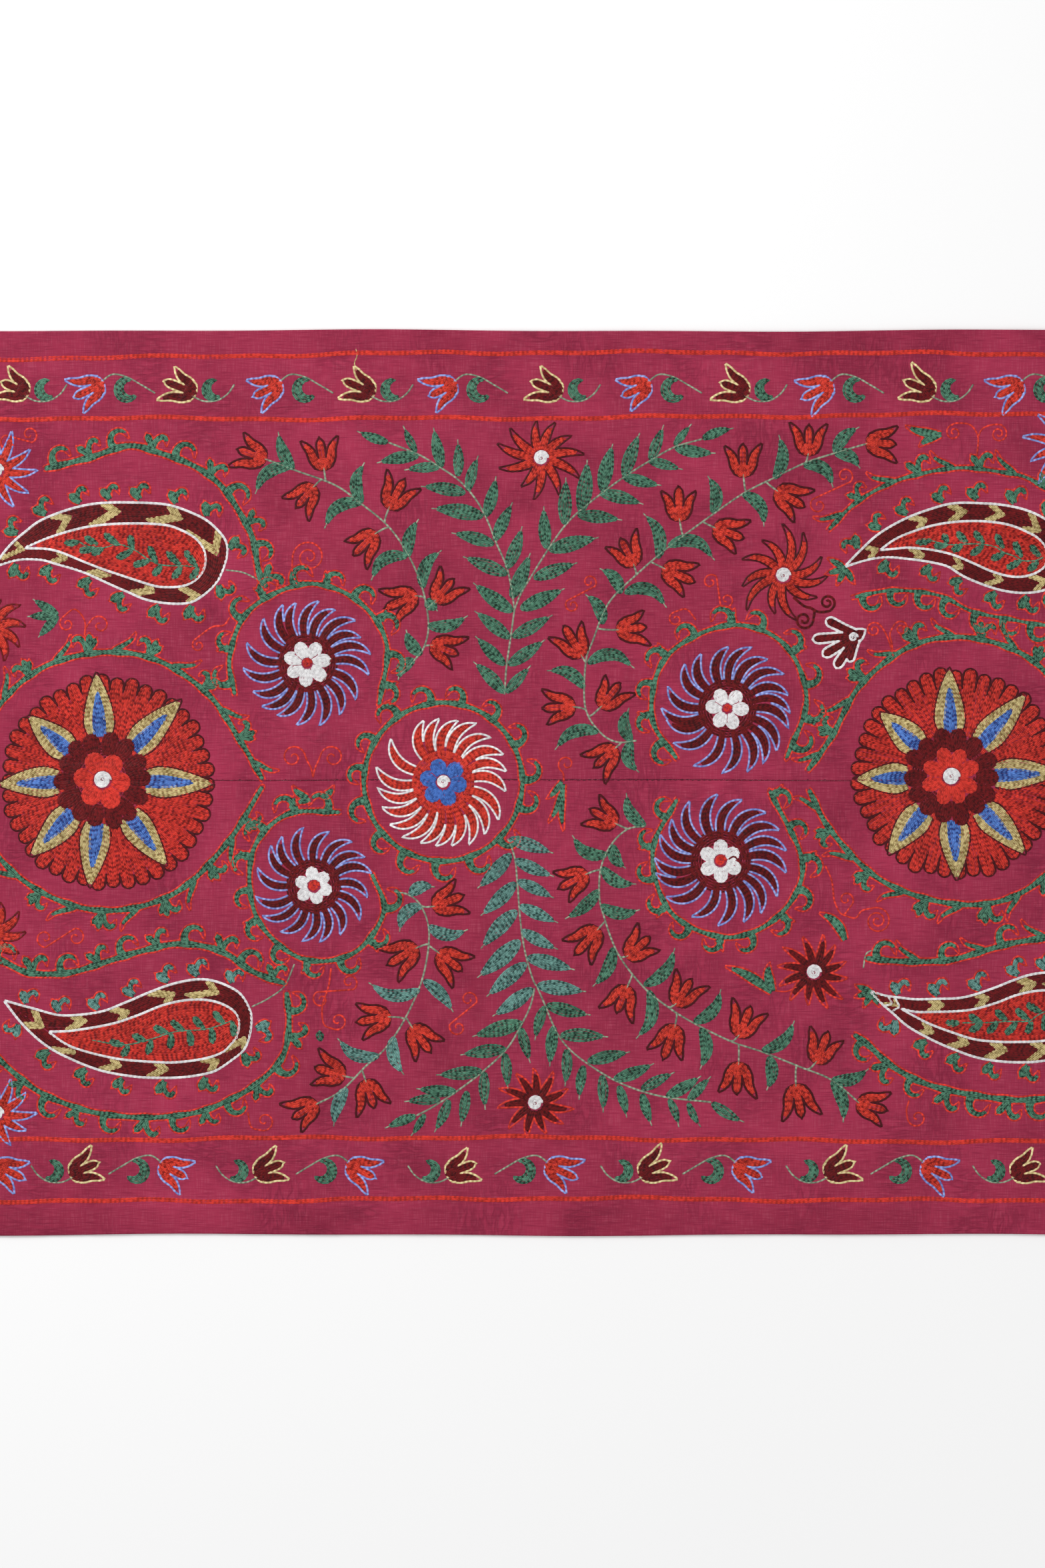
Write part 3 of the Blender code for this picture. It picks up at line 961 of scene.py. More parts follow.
rosettes = (
    # piece, middle of the petals, their tips, middle of the scallops, their radius, their notches' depth,
    # inner petals
    ("rosette_left", (154, 1170),
     [(145, 1008), (273, 1049), (322, 1175), (252, 1300), (135, 1332), (45, 1285), (-4, 1177),
      (42, 1073)],
     (162, 1174), 165.0, 13.0, 6),
    ("rosette_right", (1427, 1165),
     [(1424, 1001), (1540, 1040), (1592, 1160), (1539, 1282), (1435, 1321), (1332, 1283), (1282, 1169),
      (1319, 1068)],
     (1436, 1161), 162.0, 22.0, 8),
)

# The directions of the pinwheels' petals in degrees, as unevenly set as hand sewing leaves them
wheelTips = {
    "pinwheel_a": (112, 100, 79, 62, 41, 25, 8, -11, -37, -58, -79, -100, -120, -137, -153, -176, 161,
        134),
    "pinwheel_b": (100, 74, 49, 29, 12, -12, -37, -62, -84, -102, -126, -150, -170, 162, 136, 122),
    "pinwheel_c": (115, 88, 68, 50, 31, 12, -4, -18, -41, -57, -73, -95, -121, -148, -170, 179, 159, 133),
    "pinwheel_d": (92, 70, 46, 27, 8, -11, -33, -53, -70, -93, -118, -147, -170, 177, 156, 139, 117),
    "pinwheel_centre": (107, 93, 76, 60, 43, 24, 9, -9, -35, -52, -68, -83, -97, -111, -127, -142, -158,
        -175, 167, 140),
}
wheels = (
    # piece, middle, radius, lean, petals, rims, heart, its radius, its lobes, dot, its radius
    ("pinwheel_a", (461, 995), 93, -16, "oxblood", "periwinkle", "ivory", 35, 7, "madderRed", 8.5),
    ("pinwheel_b", (471, 1329), 86, -17, "oxblood", "periwinkle", "ivory", 28, 6, "madderRed", 9.5),
    ("pinwheel_c", (1091, 1063), 95, -19, "oxblood", "periwinkle", "ivory", 31, 6, "madderRed", 7.5),
    ("pinwheel_d", (1081, 1291), 97, -19, "oxblood", "periwinkle", "ivory", 32, 6, "madderRed", 9.5),
    ("pinwheel_centre", (665, 1173), 99, -17, "poppyRed", "ivory", "cobalt", 36, 6, "ivory", 11),
)
stars = (
    # middle, radius, rays, bend, half width, fill, edge, unevenness
    ((812, 687), 60, 11, -12, 5.4, "poppyRed", "umber", 0.17),
    ((803, 1654), 50, 11, 8, 5.0, "oxblood", "madderRed", 0.12),
    ((1175, 863), 68, 11, 26, 4.9, "poppyRed", "umber", 0.17),
    ((1221, 1458), 52, 12, 8, 5.0, "oxblood", "madderRed", 0.1),
    ((-5, 706), 56, 11, 10, 5.4, "poppyRed", "periwinkle", 0.1),
    ((-5, 1670), 54, 11, 10, 5.4, "poppyRed", "periwinkle", 0.1),
    ((-12, 945), 50, 10, -22, 5.4, "poppyRed", "oxblood", 0.12),
    ((-12, 1398), 48, 10, 20, 5.4, "poppyRed", "oxblood", 0.12),
    ((1600, 672), 60, 11, 10, 5.0, "poppyRed", "periwinkle", 0.1),
)


def makeFlowers():
    for name, at, tips, middle, radius, depth, petals in rosettes:
        rosette(name, spots([at])[0], spots(tips), spots([middle])[0], radius, depth, petals)
    for name, at, radius, lean, fill, edge, heart, heartSize, lobes, dot, dotSize in wheels:
        tips = wheelTips[name]
        pinwheel(name, spots([at])[0], radius, tips, lean, fill, edge, heart, heartSize, lobes, dot,
            dotSize)
    for at, radius, rays, bend, half, fill, edge, uneven in stars:
        rayFlower("stars", spots([at])[0], radius, rays, bend, half, fill, edge, dice.uniform(0, 30),
            uneven)


def makeBotehs():
    # Each by the tip of its tail
    boteh("boteh_upper_left", (-8, 850), "upper")
    boteh("boteh_upper_right", (1268, 850), "upperRight")
    boteh("boteh_lower_left", (7, 1501), "lower", ("tealGreen", "leafGreen"))
    boteh("boteh_lower_right", (1306, 1487), "lowerRight", ("tealGreen", "leafGreen"))


# Vines: piece, points, the side with the hooks, and the way these lean; the stretches also have their half
# width and their kinds of hook
ringVines = (
    ("vine_ring_left", [(396, 1172), (360, 1110), (312, 1041), (235, 990), (150, 979), (60, 1004),
     (-8, 1070), (-36, 1170), (-12, 1270), (62, 1338), (160, 1366), (262, 1340), (340, 1266),
     (394, 1180)], -1),
    ("vine_ring_right", [(1210, 1158), (1247, 1106), (1294, 1024), (1377, 965), (1471, 959), (1560, 1000),
     (1612, 1090), (1622, 1170)], 1),
    ("vine_ring_right", [(1212, 1182), (1247, 1247), (1318, 1318), (1412, 1353), (1500, 1352),
     (1572, 1310), (1612, 1240), (1622, 1170)], -1),
)
wheelVines = (
    ("vine_a", [(353, 1045), (345, 985), (375, 915), (458, 876), (535, 900), (580, 965), (569, 1058)], 1,
     1),
    ("vine_b", [(513, 1218), (430, 1222), (379, 1279), (385, 1375), (451, 1437), (530, 1430), (576, 1368),
     (558, 1310)], -1, 1),
    ("vine_c", [(1017, 1141), (978, 1075), (1000, 985), (1093, 938), (1175, 965), (1210, 1048),
     (1180, 1138)], 1, -1),
    ("vine_d", [(1017, 1196), (979, 1279), (1008, 1370), (1093, 1406), (1170, 1372), (1204, 1296),
     (1155, 1186)], -1, -1),
)
centreVine = {"middle": (665, 1173), "radius": 119, "start": 0, "end": 330, "points": 12}
stretches = (
    ("vine_upper_left", [(65, 704), (134, 687), (193, 669), (241, 680), (293, 700), (331, 728),
     (358, 766), (379, 807), (389, 859), (400, 881)], 1, 1, 3.4, ("single", "crown")),
    ("vine_lower_left", [(-60, 1420), (0, 1440), (45, 1459), (103, 1459), (155, 1444), (207, 1428),
     (262, 1416), (310, 1420), (344, 1433), (379, 1457), (427, 1475)], 1, 1, 3.4, ("crown", "single")),
    ("vine_lower_left", [(430, 1485), (434, 1537), (424, 1585), (389, 1623), (344, 1650), (293, 1669),
     (224, 1676), (155, 1671), (103, 1657), (52, 1633), (0, 1590), (-50, 1540)], 1, -1, 3.0,
     ("single", "crown")),
    ("vine_upper_right", [(1241, 797), (1283, 755), (1338, 724), (1390, 709), (1441, 702), (1493, 707),
     (1545, 719), (1600, 760), (1636, 820), (1650, 890)], 1, 1, 2.0, ("twig", "crown")),
    ("vine_upper_right", [(1276, 897), (1338, 886), (1407, 893), (1458, 917), (1510, 928), (1580, 938),
     (1640, 920)], -1, 1, 1.6, ("single",)),
    ("vine_lower_right", [(1297, 1437), (1355, 1442), (1424, 1440), (1476, 1426), (1527, 1413),
     (1590, 1408), (1650, 1430)], 1, 1, 3.2, ("single", "twig")),
    ("vine_lower_right", [(1279, 1550), (1303, 1568), (1338, 1599), (1390, 1626), (1458, 1642),
     (1540, 1650), (1610, 1636), (1660, 1596)], -1, 1, 3.4, ("single", "crown")),
)
vineSteps = {
    "ring": {"every": 47, "first": 24, "half": 2.8, "kinds": ("twig", "trident")},
    "wheel": {"every": 50, "first": 26, "half": 2.3, "kinds": ("single", "double")},
    "centre": {"every": 51, "first": 10, "closed": True},
    "stretch": {"every": 46, "first": 22},
}


def makeVines():
    for name, points, side in ringVines:
        vine(name, spots(points), side=side, **vineSteps["ring"])
    for name, points, side, forward in wheelVines:
        vine(name, spots(points), side=side, forward=forward, **vineSteps["wheel"])
    middle = spots([centreVine["middle"]])[0]
    circle = arc(middle, centreVine["radius"], centreVine["start"], centreVine["end"],
        centreVine["points"])
    vine("vine_centre", circle, side=-1, **vineSteps["centre"])
    for name, points, side, forward, half, kinds in stretches:
        vine(name, spots(points), side=side, forward=forward, half=half, kinds=kinds,
            **vineSteps["stretch"])


# Each branch in three parts, a trunk and two arms: a stem, and leaves each from its base to its tip
branches = (
    ("branch_upper", [(757, 1042), (760, 1000), (766, 958), (772, 914)], (
        (757, 1040, 712, 994), (758, 998, 715, 956), (766, 958, 714, 918), (770, 918, 712, 876),
        (758, 1040, 795, 1000), (762, 998, 816, 961), (768, 956, 827, 924)), "leafGreen"),
    ("branch_upper", [(772, 914), (767, 880), (760, 850), (745, 815), (730, 778), (713, 748), (689, 721),
     (660, 701), (628, 682), (583, 664)], (
        (762, 862, 697, 836), (742, 817, 680, 800), (726, 775, 650, 763), (767, 898, 795, 832),
        (760, 854, 783, 792), (742, 812, 768, 756), (728, 776, 744, 717), (702, 738, 717, 686),
        (699, 740, 634, 730), (687, 716, 687, 662), (661, 701, 609, 705), (663, 702, 651, 644),
        (629, 684, 568, 694), (625, 680, 606, 641), (583, 664, 538, 648)), "leafGreen"),
    ("branch_upper", [(772, 914), (782, 890), (800, 860), (820, 828), (845, 792), (868, 768), (903, 740),
     (936, 716), (974, 692), (1012, 671), (1053, 659)], (
        (780, 914, 845, 884), (800, 868, 864, 845), (823, 826, 896, 807), (820, 824, 816, 762),
        (847, 788, 849, 719), (866, 773, 931, 780), (871, 770, 881, 692), (899, 740, 963, 756),
        (903, 738, 919, 668), (933, 714, 990, 728), (936, 716, 959, 652), (972, 691, 1022, 704),
        (975, 692, 995, 640), (1012, 672, 1071, 680), (1011, 669, 1036, 638), (1053, 659, 1098, 643)),
        "leafGreen"),
    ("branch_lower", [(762, 1258), (772, 1285), (776, 1320), (779, 1360), (783, 1400), (790, 1437),
     (800, 1470), (806, 1480)], (
        (767, 1280, 718, 1331), (774, 1323, 723, 1372), (776, 1365, 723, 1421), (781, 1410, 718, 1465),
        (790, 1444, 732, 1493), (800, 1482, 741, 1523), (763, 1258, 828, 1279), (772, 1289, 829, 1314),
        (776, 1321, 829, 1346), (779, 1358, 835, 1383), (782, 1395, 835, 1423), (790, 1436, 860, 1454),
        (805, 1478, 877, 1487)), "tealGreen"),
    ("branch_lower", [(806, 1480), (818, 1508), (829, 1535), (840, 1556), (856, 1575), (881, 1595),
     (920, 1619), (961, 1636), (1003, 1646), (1067, 1653)], (
        (819, 1507, 884, 1522), (818, 1508, 803, 1558), (840, 1553, 910, 1555), (831, 1538, 825, 1597),
        (850, 1572, 848, 1627), (881, 1592, 943, 1578), (876, 1597, 869, 1647), (903, 1611, 905, 1666),
        (920, 1619, 979, 1596), (928, 1627, 940, 1674), (961, 1635, 1010, 1609), (963, 1639, 977, 1686),
        (999, 1645, 1050, 1615), (1003, 1647, 1018, 1688), (1032, 1651, 1065, 1616),
        (1032, 1653, 1050, 1688), (1067, 1653, 1114, 1682)), "leafGreen"),
    ("branch_lower", [(802, 1482), (797, 1505), (786, 1530), (762, 1571), (727, 1605), (685, 1637),
     (650, 1660), (625, 1673)], (
        (785, 1534, 711, 1554), (781, 1540, 795, 1592), (760, 1573, 693, 1582), (757, 1578, 762, 1632),
        (724, 1606, 657, 1612), (727, 1606, 728, 1662), (701, 1635, 692, 1687), (685, 1637, 627, 1633),
        (674, 1648, 653, 1696), (662, 1650, 609, 1652), (638, 1670, 618, 1702), (625, 1673, 580, 1691)),
        "leafGreen"),
)


def makeBranches():
    for name, stem, leaves, fill in branches:
        branch(name, stem, leaves, fill)


# Each spray: its stem, its leaves, each from its base to its tip with a bend, its tulips, each with its
# direction, and the leaves' thread
sprays = (
    ("spray_upper_left",
     [(600, 1012), (622, 990), (637, 969), (643, 935), (634, 883), (614, 835), (583, 790), (541, 755),
      (503, 728), (444, 706), (396, 688)],
     ((441, 705, 418, 650, 3), (437, 701, 384, 739, -9), (544, 755, 546, 696, 7),
      (544, 755, 488, 791, -10), (613, 836, 627, 781, 4), (612, 835, 558, 869, -10),
      (635, 883, 661, 827, 7), (641, 938, 700, 925, -5), (633, 982, 610, 947, 3),
      (622, 990, 598, 1018, -4), (640, 900, 655, 915, 0)),
     ((395, 688, 158), (486, 701, 98), (469, 732, 230), (585, 759, 60), (561, 802, 224), (621, 894, 203),
      (655, 899, 50), (651, 968, -22)),
     "leafGreen"),
    ("spray_upper_right",
     [(955, 1111), (925, 1113), (899, 1097), (878, 1060), (879, 993), (890, 960), (913, 905), (955, 862),
      (999, 824), (1040, 793), (1111, 743), (1159, 718), (1207, 695), (1252, 680), (1303, 665)],
     ((1161, 719, 1169, 655, -6), (1205, 699, 1249, 729, 9), (1068, 770, 1063, 716, -6),
      (1113, 741, 1146, 788, 8), (987, 839, 967, 772, -8), (1001, 820, 1071, 839, 12),
      (931, 891, 902, 854, -5), (936, 890, 999, 910, 11), (904, 937, 880, 893, -5),
      (881, 996, 950, 1001, 11), (877, 1033, 823, 1006, -7), (1252, 680, 1287, 642, 4),
      (1252, 681, 1289, 701, 5), (899, 1098, 834, 1123, -9), (948, 1112, 943, 1064, 6),
      (948, 1112, 957, 1157, -7)),
     ((1115, 711, 91), (1213, 679, 88), (1304, 664, -3), (1019, 777, 92), (1168, 738, -31),
      (1075, 793, -21), (950, 845, 118), (999, 854, -24), (930, 945, 8), (871, 981, 120), (904, 1058, 54),
      (858, 1060, 185), (921, 1124, 221)),
     "leafGreen"),
    ("spray_lower_left",
     [(592, 1337), (615, 1343), (633, 1361), (644, 1399), (636, 1460), (614, 1516), (582, 1568),
      (548, 1600), (512, 1636), (473, 1657)],
     ((615, 1343, 650, 1330, 4), (633, 1359, 600, 1395, -7), (643, 1388, 700, 1395, -7),
      (631, 1484, 555, 1475, 9), (635, 1470, 679, 1516, 3), (570, 1583, 508, 1559, 8),
      (591, 1554, 605, 1610, -5), (521, 1631, 501, 1687, -3)),
     ((654, 1359, 22), (622, 1423, 210), (661, 1431, -38), (581, 1525, 190), (620, 1543, -53),
      (513, 1613, 165), (550, 1624, -72), (472, 1657, 213)),
     "tealGreen"),
    ("spray_lower_right",
     [(968, 1239), (941, 1244), (917, 1267), (902, 1300), (899, 1340), (905, 1371), (927, 1430),
      (965, 1480), (1003, 1511), (1040, 1534), (1097, 1562), (1142, 1577), (1200, 1600), (1248, 1620),
      (1290, 1655)],
     ((969, 1239, 940, 1192, 6), (912, 1281, 860, 1255, 8), (920, 1267, 937, 1301, -4),
      (903, 1300, 952, 1326, -6), (899, 1334, 850, 1377, 3), (901, 1357, 958, 1365, -6),
      (920, 1420, 891, 1478, 5), (965, 1478, 1012, 1424, -7), (973, 1484, 956, 1556, 9),
      (1040, 1533, 1081, 1486, -7), (1051, 1541, 1051, 1602, 6), (1142, 1576, 1191, 1533, -7),
      (1153, 1584, 1151, 1633, 4), (1247, 1619, 1302, 1604, -5), (1247, 1621, 1265, 1681, 5)),
     ((921, 1234, 150), (877, 1312, 209), (895, 1396, 228), (944, 1433, 42), (940, 1483, 246),
      (1016, 1504, 59), (1012, 1542, 251), (1110, 1551, 67), (1108, 1598, 264), (1226, 1590, 69),
      (1194, 1631, 280), (1290, 1655, -14)),
     "leafGreen"),
)


def makeSprays():
    for name, stem, leaves, flowers, fill in sprays:
        spray(name, spots(stem), leaves, flowers, fill)


# Curls in the order they are sewn. A tendril: its coil's middle and radius, its stem, its direction and
# turns, and it may have a thread and a width. A scroll: its two ends, radius and side. Leaves: each one's
# base, tip and bend, and their half width
curls = (
    ("tendril", (464, 836), 25, [(446, 878), (439, 858)], -1, 2.0),
    ("scroll", (859, 908), (884, 873), 11),
    ("scroll", (1066, 873), (1090, 900), 12),
    ("tendril", (1014, 929), 11, [(1044, 930), (1030, 914)], 1),
    ("scroll", (1228, 758), (1267, 714), 13),
    ("tendril", (1206, 930), 14, [(1190, 896), (1206, 909), (1221, 915)], -1, 1.5, "oxblood", 4.3),
    ("tendril", (1241, 904), 12, [(1214, 911), (1228, 918), (1243, 917)], 1, 1.5, "oxblood", 4.3),
    ("tendril", (1311, 945), 12, [(1340, 986), (1335, 966), (1328, 949)], 1, 1.5),
    ("tendril", (1352, 943), 12, [(1340, 986), (1338, 966), (1335, 951)], -1, 1.5),
    ("scroll", (524, 1473), (482, 1499), 13),
    ("tendril", (507, 1531), 14, [(497, 1452), (493, 1480), (484, 1508), (486, 1536)], 1),
    ("scroll", (703, 1499), (687, 1541), 13),
    ("tendril", (1269, 1349), 12, [(1238, 1298), (1248, 1322), (1252, 1352), (1264, 1372)], 1),
    ("tendril", (1316, 1381), 20, [(1264, 1372), (1283, 1377), (1293, 1366)], -1, 2.2),
    ("tendril", (1376, 1676), 15, [(1364, 1650), (1360, 1664)], 1),
    ("tendril", (397, 1681), 15, [(372, 1668), (377, 1690)], 1),
    ("scroll", (13, 665), (44, 652), 13),
    ("tendril", (101, 936), 12, [(128, 952), (127, 930), (112, 914)], 1),
    ("tendril", (150, 938), 15, [(128, 962), (128, 945)], -1),
    ("tendril", (298, 968), 10, [(345, 926), (336, 938), (318, 941)], 1),
    ("tendril", (440, 1136), 18, [(470, 1166), (467, 1152), (461, 1141)], 1, 1.4),
    ("tendril", (499, 1136), 18, [(470, 1166), (473, 1152), (478, 1141)], -1, 1.4),
    ("tendril", (850, 1146), 13, [(846, 1172), (845, 1160)], -1),
    ("scroll", (68, 1407), (114, 1406), 14, -1),
    ("tendril", (1431, 649), 12, [(1465, 686), (1467, 656), (1456, 638), (1436, 635)], 1, 1.4),
    ("tendril", (1498, 651), 13, [(1467, 656), (1473, 644), (1486, 638), (1500, 637)], -1, 1.6),
    ("leaves", ((1412, 652, 1360, 640, 3), (1412, 652, 1380, 669, -3)), 5.6),
    # By the cloth's two ends
    ("scroll", (-72, 740), (-72, 780), 13),
    ("scroll", (-74, 1522), (-74, 1568), 13),
    ("scroll", (-74, 1143), (-74, 1197), 13),
    ("scroll", (1660, 1147), (1660, 1197), 13),
    ("scroll", (1668, 673), (1668, 707), 13),
    ("scroll", (1668, 1635), (1668, 1665), 13),
    ("scroll", (-76, 908), (-76, 952), 13),
    ("scroll", (-76, 1378), (-76, 1422), 13),
    ("scroll", (1664, 988), (1664, 1032), 13),
    ("scroll", (1664, 1308), (1664, 1352), 13),
    # Small leaves on their own
    ("leaves", ((843, 1172, 822, 1197, 2), (845, 1176, 824, 1232, 4), (846, 1176, 845, 1244, -3)), 4.0),
    ("leaves", ((1158, 1488, 1090, 1450, -4), (1160, 1487, 1154, 1446, 4)), 6.6),
    ("leaves", ((1268, 1410, 1231, 1370, -7),), 6.4),
    ("leaves", ((462, 1196, 440, 1180, 3), (466, 1200, 446, 1206, -2), (482, 1196, 500, 1180, -3)), 4.4),
)
twig = {"points": [(1162, 1486), (1180, 1487), (1196, 1480)], "width": 2.6}
fan = {"base": (88, 923), "tips": ((50, 899), (42, 925), (58, 956)), "half": 7.0, "tail": 0.5}
bud = {"at": (480, 1554), "turn": 100, "spine": [(-8, 0), (8, 0)], "widths": [(0, 2), (0.5, 7), (1, 2)]}
cups = {
    "half": 4.4,
    "leaves": (
        ((1268, 853), ((1243, 838), (1240, 861), (1256, 877), (1281, 875))),
        ((1308, 1488), ((1284, 1478), (1283, 1495), (1296, 1510), (1319, 1509))),
    ),
}
hand = {
    "palm": (1286, 953),
    # Each finger's tip and half width
    "fingers": (((1240, 930), 5.6), ((1220, 959), 5.4), ((1235, 983), 5.6), ((1254, 1001), 5.4),
        ((1274, 992), 4.6)),
    # as shares of the half width
    "fingerWidths": ((0, 1.0), (0.5, 0.9), (0.85, 1.0), (0.95, 0.7), (1, 0)),
    "wrist": [(-8, 0), (4, 0), (14, 0)], "wristWidths": [(0, 8), (0.5, 7), (1, 0)], "wristTurn": 35,
    "rimWidth": 3.8, "tail": 1.0,
    "dot": (1280, 956), "dotRadius": 8.5, "dotLift": 0.0003,
}


def handMotif(piece):
    # Fingers spread from one palm, with a pale dot on it
    palm = spots([hand["palm"]])[0]
    shapes = []
    for tip, half in hand["fingers"]:
        end = spots([tip])[0]
        far = float(np.linalg.norm(end - palm))
        widths = [(along, half * share) for along, share in hand["fingerWidths"]]
        shapes.append(placed(petal([(0, 0), (far * 0.5, 0), (far, 0)], widths), palm,
            heading(end - palm)))
    shapes.append(placed(petal(hand["wrist"], hand["wristWidths"]), palm, hand["wristTurn"]))
    sewShapes(piece, shapes, "oxblood", "ivory", hand["rimWidth"], tail=hand["tail"])
    dot = spiralRow(spots([hand["dot"]])[0], hand["dotRadius"], heartLook["pitch"])
    sew(piece, "ivory", [dot], heartLook["dotWidth"], hand["dotLift"])


def makeTendrils():
    piece = "tendrils"
    makers = {"tendril": tendril, "scroll": scroll, "leaves": sprigLeaves}
    for kind, *form in curls:
        makers[kind](piece, *form)
    sew(piece, "madderRed", [smooth(spots(twig["points"]))], twig["width"])
    for tip in fan["tips"]:
        leaf(piece, spots([fan["base"]])[0], spots([tip])[0], fan["half"], 0.0, tail=fan["tail"])
    shape = petal(bud["spine"], bud["widths"], 20)
    sew(piece, "leafGreen", fillRows(placed(shape, spots([bud["at"]])[0], bud["turn"])))
    for (x, y), tips in cups["leaves"]:
        sprigLeaves(piece, [(x, y, tipX, tipY, 0) for tipX, tipY in tips], cups["half"])
    handMotif(piece)


seamStitch = {
    "start": -244, "end": 1820, "every": 8.6,
    "length": (3.2, 5.2), "uneven": (0.5, 0.4),  # a stitch's length, and how far its ends stray
    "width": 2.2, "lift": -0.0002,
}
looseThread = {"points": [(535, 556), (532, 545), (536, 534), (534, 523)], "width": 1.5}
joins = {
    "width": 2.6,
    "points": (
        [(339, 855), (365, 859), (388, 870)],
        [(378, 1510), (402, 1498), (427, 1479), (442, 1446)],
        [(1295, 1452), (1300, 1430), (1315, 1424)],
    ),
}
wornPlace = {"points": [(1093, 1289), (1099, 1285), (1104, 1286), (1108, 1292), (1116, 1298)],
    "width": 2.6, "lift": 0.0004}


def makeSmallThings():
    # The seam's running stitches, a loose thread, threads that join two motifs, and a worn place on a heart
    dashes = []
    stray, tilt = seamStitch["uneven"]
    for x in np.arange(seamStitch["start"], seamStitch["end"], seamStitch["every"]):
        y = design["seam"] + dice.uniform(-stray, stray)
        dashes.append(spots([(x, y), (x + dice.uniform(*seamStitch["length"]),
            y + dice.uniform(-tilt, tilt))]))
    sew("seam_stitches", "seamBrown", dashes, seamStitch["width"], seamStitch["lift"])
    sew("border_upper", "straw", [smooth(spots(looseThread["points"]))], looseThread["width"])
    sew("joining_threads", "sage", [smooth(spots(join)) for join in joins["points"]], joins["width"])
    sew("pinwheel_d", "oxblood", [smooth(spots(wornPlace["points"]))], wornPlace["width"],
        wornPlace["lift"])


makeBorder()
makeFlowers()
makeBotehs()
makeVines()
makeBranches()
makeSprays()
makeTendrils()
makeSmallThings()
print("design drawn:", sum(len(rows) for rows in basket.values()), "rows")


# Cloth

cloth = {
    "length": 1.145, "width": 0.750,
    "thick": 0.0017,
    "hem": 0.0235, "hemRise": 0.0006,
    "allowance": 0.0130, "allowanceRise": 0.0005,
    "stepWidth": 0.0030,
    "grooveWidth": 0.0026, "grooveDepth": 0.0005,
    "seamGap": 0.0003,
    "edgeWaver": 0.0022, "seamWaver": 0.0006, "seamReach": 0.10,
    "rippleHeight": 0.00025, "rippleLength": 0.085,
    "puckerHeight": 0.00020, "puckerLength": 0.016,
    "roundEdge": 0.0016, "edgeShare": (0.45, 0.55),  # the edge's height, and what its rounding adds
    "edgeLines": (0.15, 0.5, 1.0),  # lines of the grid by the edge, as shares of its rounding
    "grooveLines": (0.3, 0.65, 1.0),  # and by the seam, as shares of the furrow
    "cell": 0.0042,
}
# The baking map, in metres: its margin, the rim laid around the face, and the underside's place beside it
bakeMap = {"margin": 0.006, "rim": 0.002, "gap": 0.014, "spare": 1.02, "inset": 0.005}
seamY = (design["middle"][1] - design["seam"]) * design["pixel"]

# Soft creases: middle x and y, half length, half width, all in metres, turn in degrees, rise in metres
creases = (
    (-0.412, 0.126, 0.042, 0.0070, 88.0, 0.0011),
    (-0.428, 0.262, 0.040, 0.0075, 92.0, 0.0009),
    (-0.417, -0.150, 0.042, 0.0070, 90.0, 0.0011),
    (-0.015, -0.309, 0.260, 0.0065, -0.4, 0.0010),
    (-0.225, -0.353, 0.190, 0.0070, 1.2, 0.0008),
    (0.330, -0.352, 0.120, 0.0070, -1.5, 0.0008),
    (-0.160, -0.249, 0.090, 0.0070, 6.0, 0.0007),
    (-0.130, -0.283, 0.075, 0.0065, 7.0, 0.0007),
    (0.265, -0.232, 0.055, 0.0060, 1.0, 0.0008),
    (0.145, -0.240, 0.050, 0.0060, -3.0, 0.0007),
    (-0.047, -0.076, 0.050, 0.0080, 25.0, 0.0009),
    (-0.045, -0.121, 0.036, 0.0070, 17.0, 0.0007),
    (0.170, 0.288, 0.040, 0.0060, 1.0, 0.0007),
    (0.480, 0.030, 0.055, 0.0075, 80.0, 0.0009),
    (0.500, -0.190, 0.050, 0.0075, 96.0, 0.0008),
    (-0.510, 0.010, 0.055, 0.0075, 84.0, 0.0009),
)


def waver(along, seed):
    # A slow uneven wave between -1 and 1
    return 0.65 * np.sin(along * 11.0 + seed) + 0.35 * np.sin(along * 27.0 + seed * 2.3)


def stepUp(distance, edge):
    # 0 before an edge and 1 after it, with a smooth step between
    share = np.clip((distance - edge) / cloth["stepWidth"] + 0.5, 0.0, 1.0)
    return share * share * (3.0 - 2.0 * share)


def clothTop(x, y):
    # Height of the cloth's face: the sheet, its hem, seam allowance, creases and furrow, and ripples and
    # small puckers, which are waves bent by slower waves
    toEdge = np.minimum(cloth["length"] / 2 - np.abs(x), cloth["width"] / 2 - np.abs(y))
    toSeam = np.abs(y - seamY)
    height = cloth["thick"] + cloth["hemRise"] * (1.0 - stepUp(toEdge, cloth["hem"]))
    for midX, midY, reach, spread, turn, rise in creases:
        c, s = math.cos(math.radians(turn)), math.sin(math.radians(turn))
        along = (x - midX) * c + (y - midY) * s
        across = (y - midY) * c - (x - midX) * s
        height = height + rise * np.exp(-(along / reach) ** 2 - (across / spread) ** 2)
    pressed = (y > seamY) * (1.0 - stepUp(toSeam, cloth["allowance"]))
    height = height + cloth["allowanceRise"] * pressed
    height = height - cloth["grooveDepth"] * np.clip(1.0 - toSeam / cloth["grooveWidth"], 0.0, 1.0)
    turn = 2 * math.pi / cloth["rippleLength"]
    first = np.sin(turn * x + 1.9 * np.sin(turn * 0.37 * y))
    second = np.sin(turn * 0.83 * y + 1.4 * np.sin(turn * 0.29 * x + 0.8))
    height = height + cloth["rippleHeight"] * first * second
    small = 2 * math.pi / cloth["puckerLength"]
    bent = 0.9 * np.sin(small * 0.31 * y + 2.0) + 1.3 * np.sin(small * 0.17 * x)
    wound = 1.7 * np.sin(small * 0.23 * x + 0.4 * small * y * 0.3)
    third = np.sin(small * x * 0.9 + bent) * np.sin(small * y * 0.8 + wound)
    return height + cloth["puckerHeight"] * third


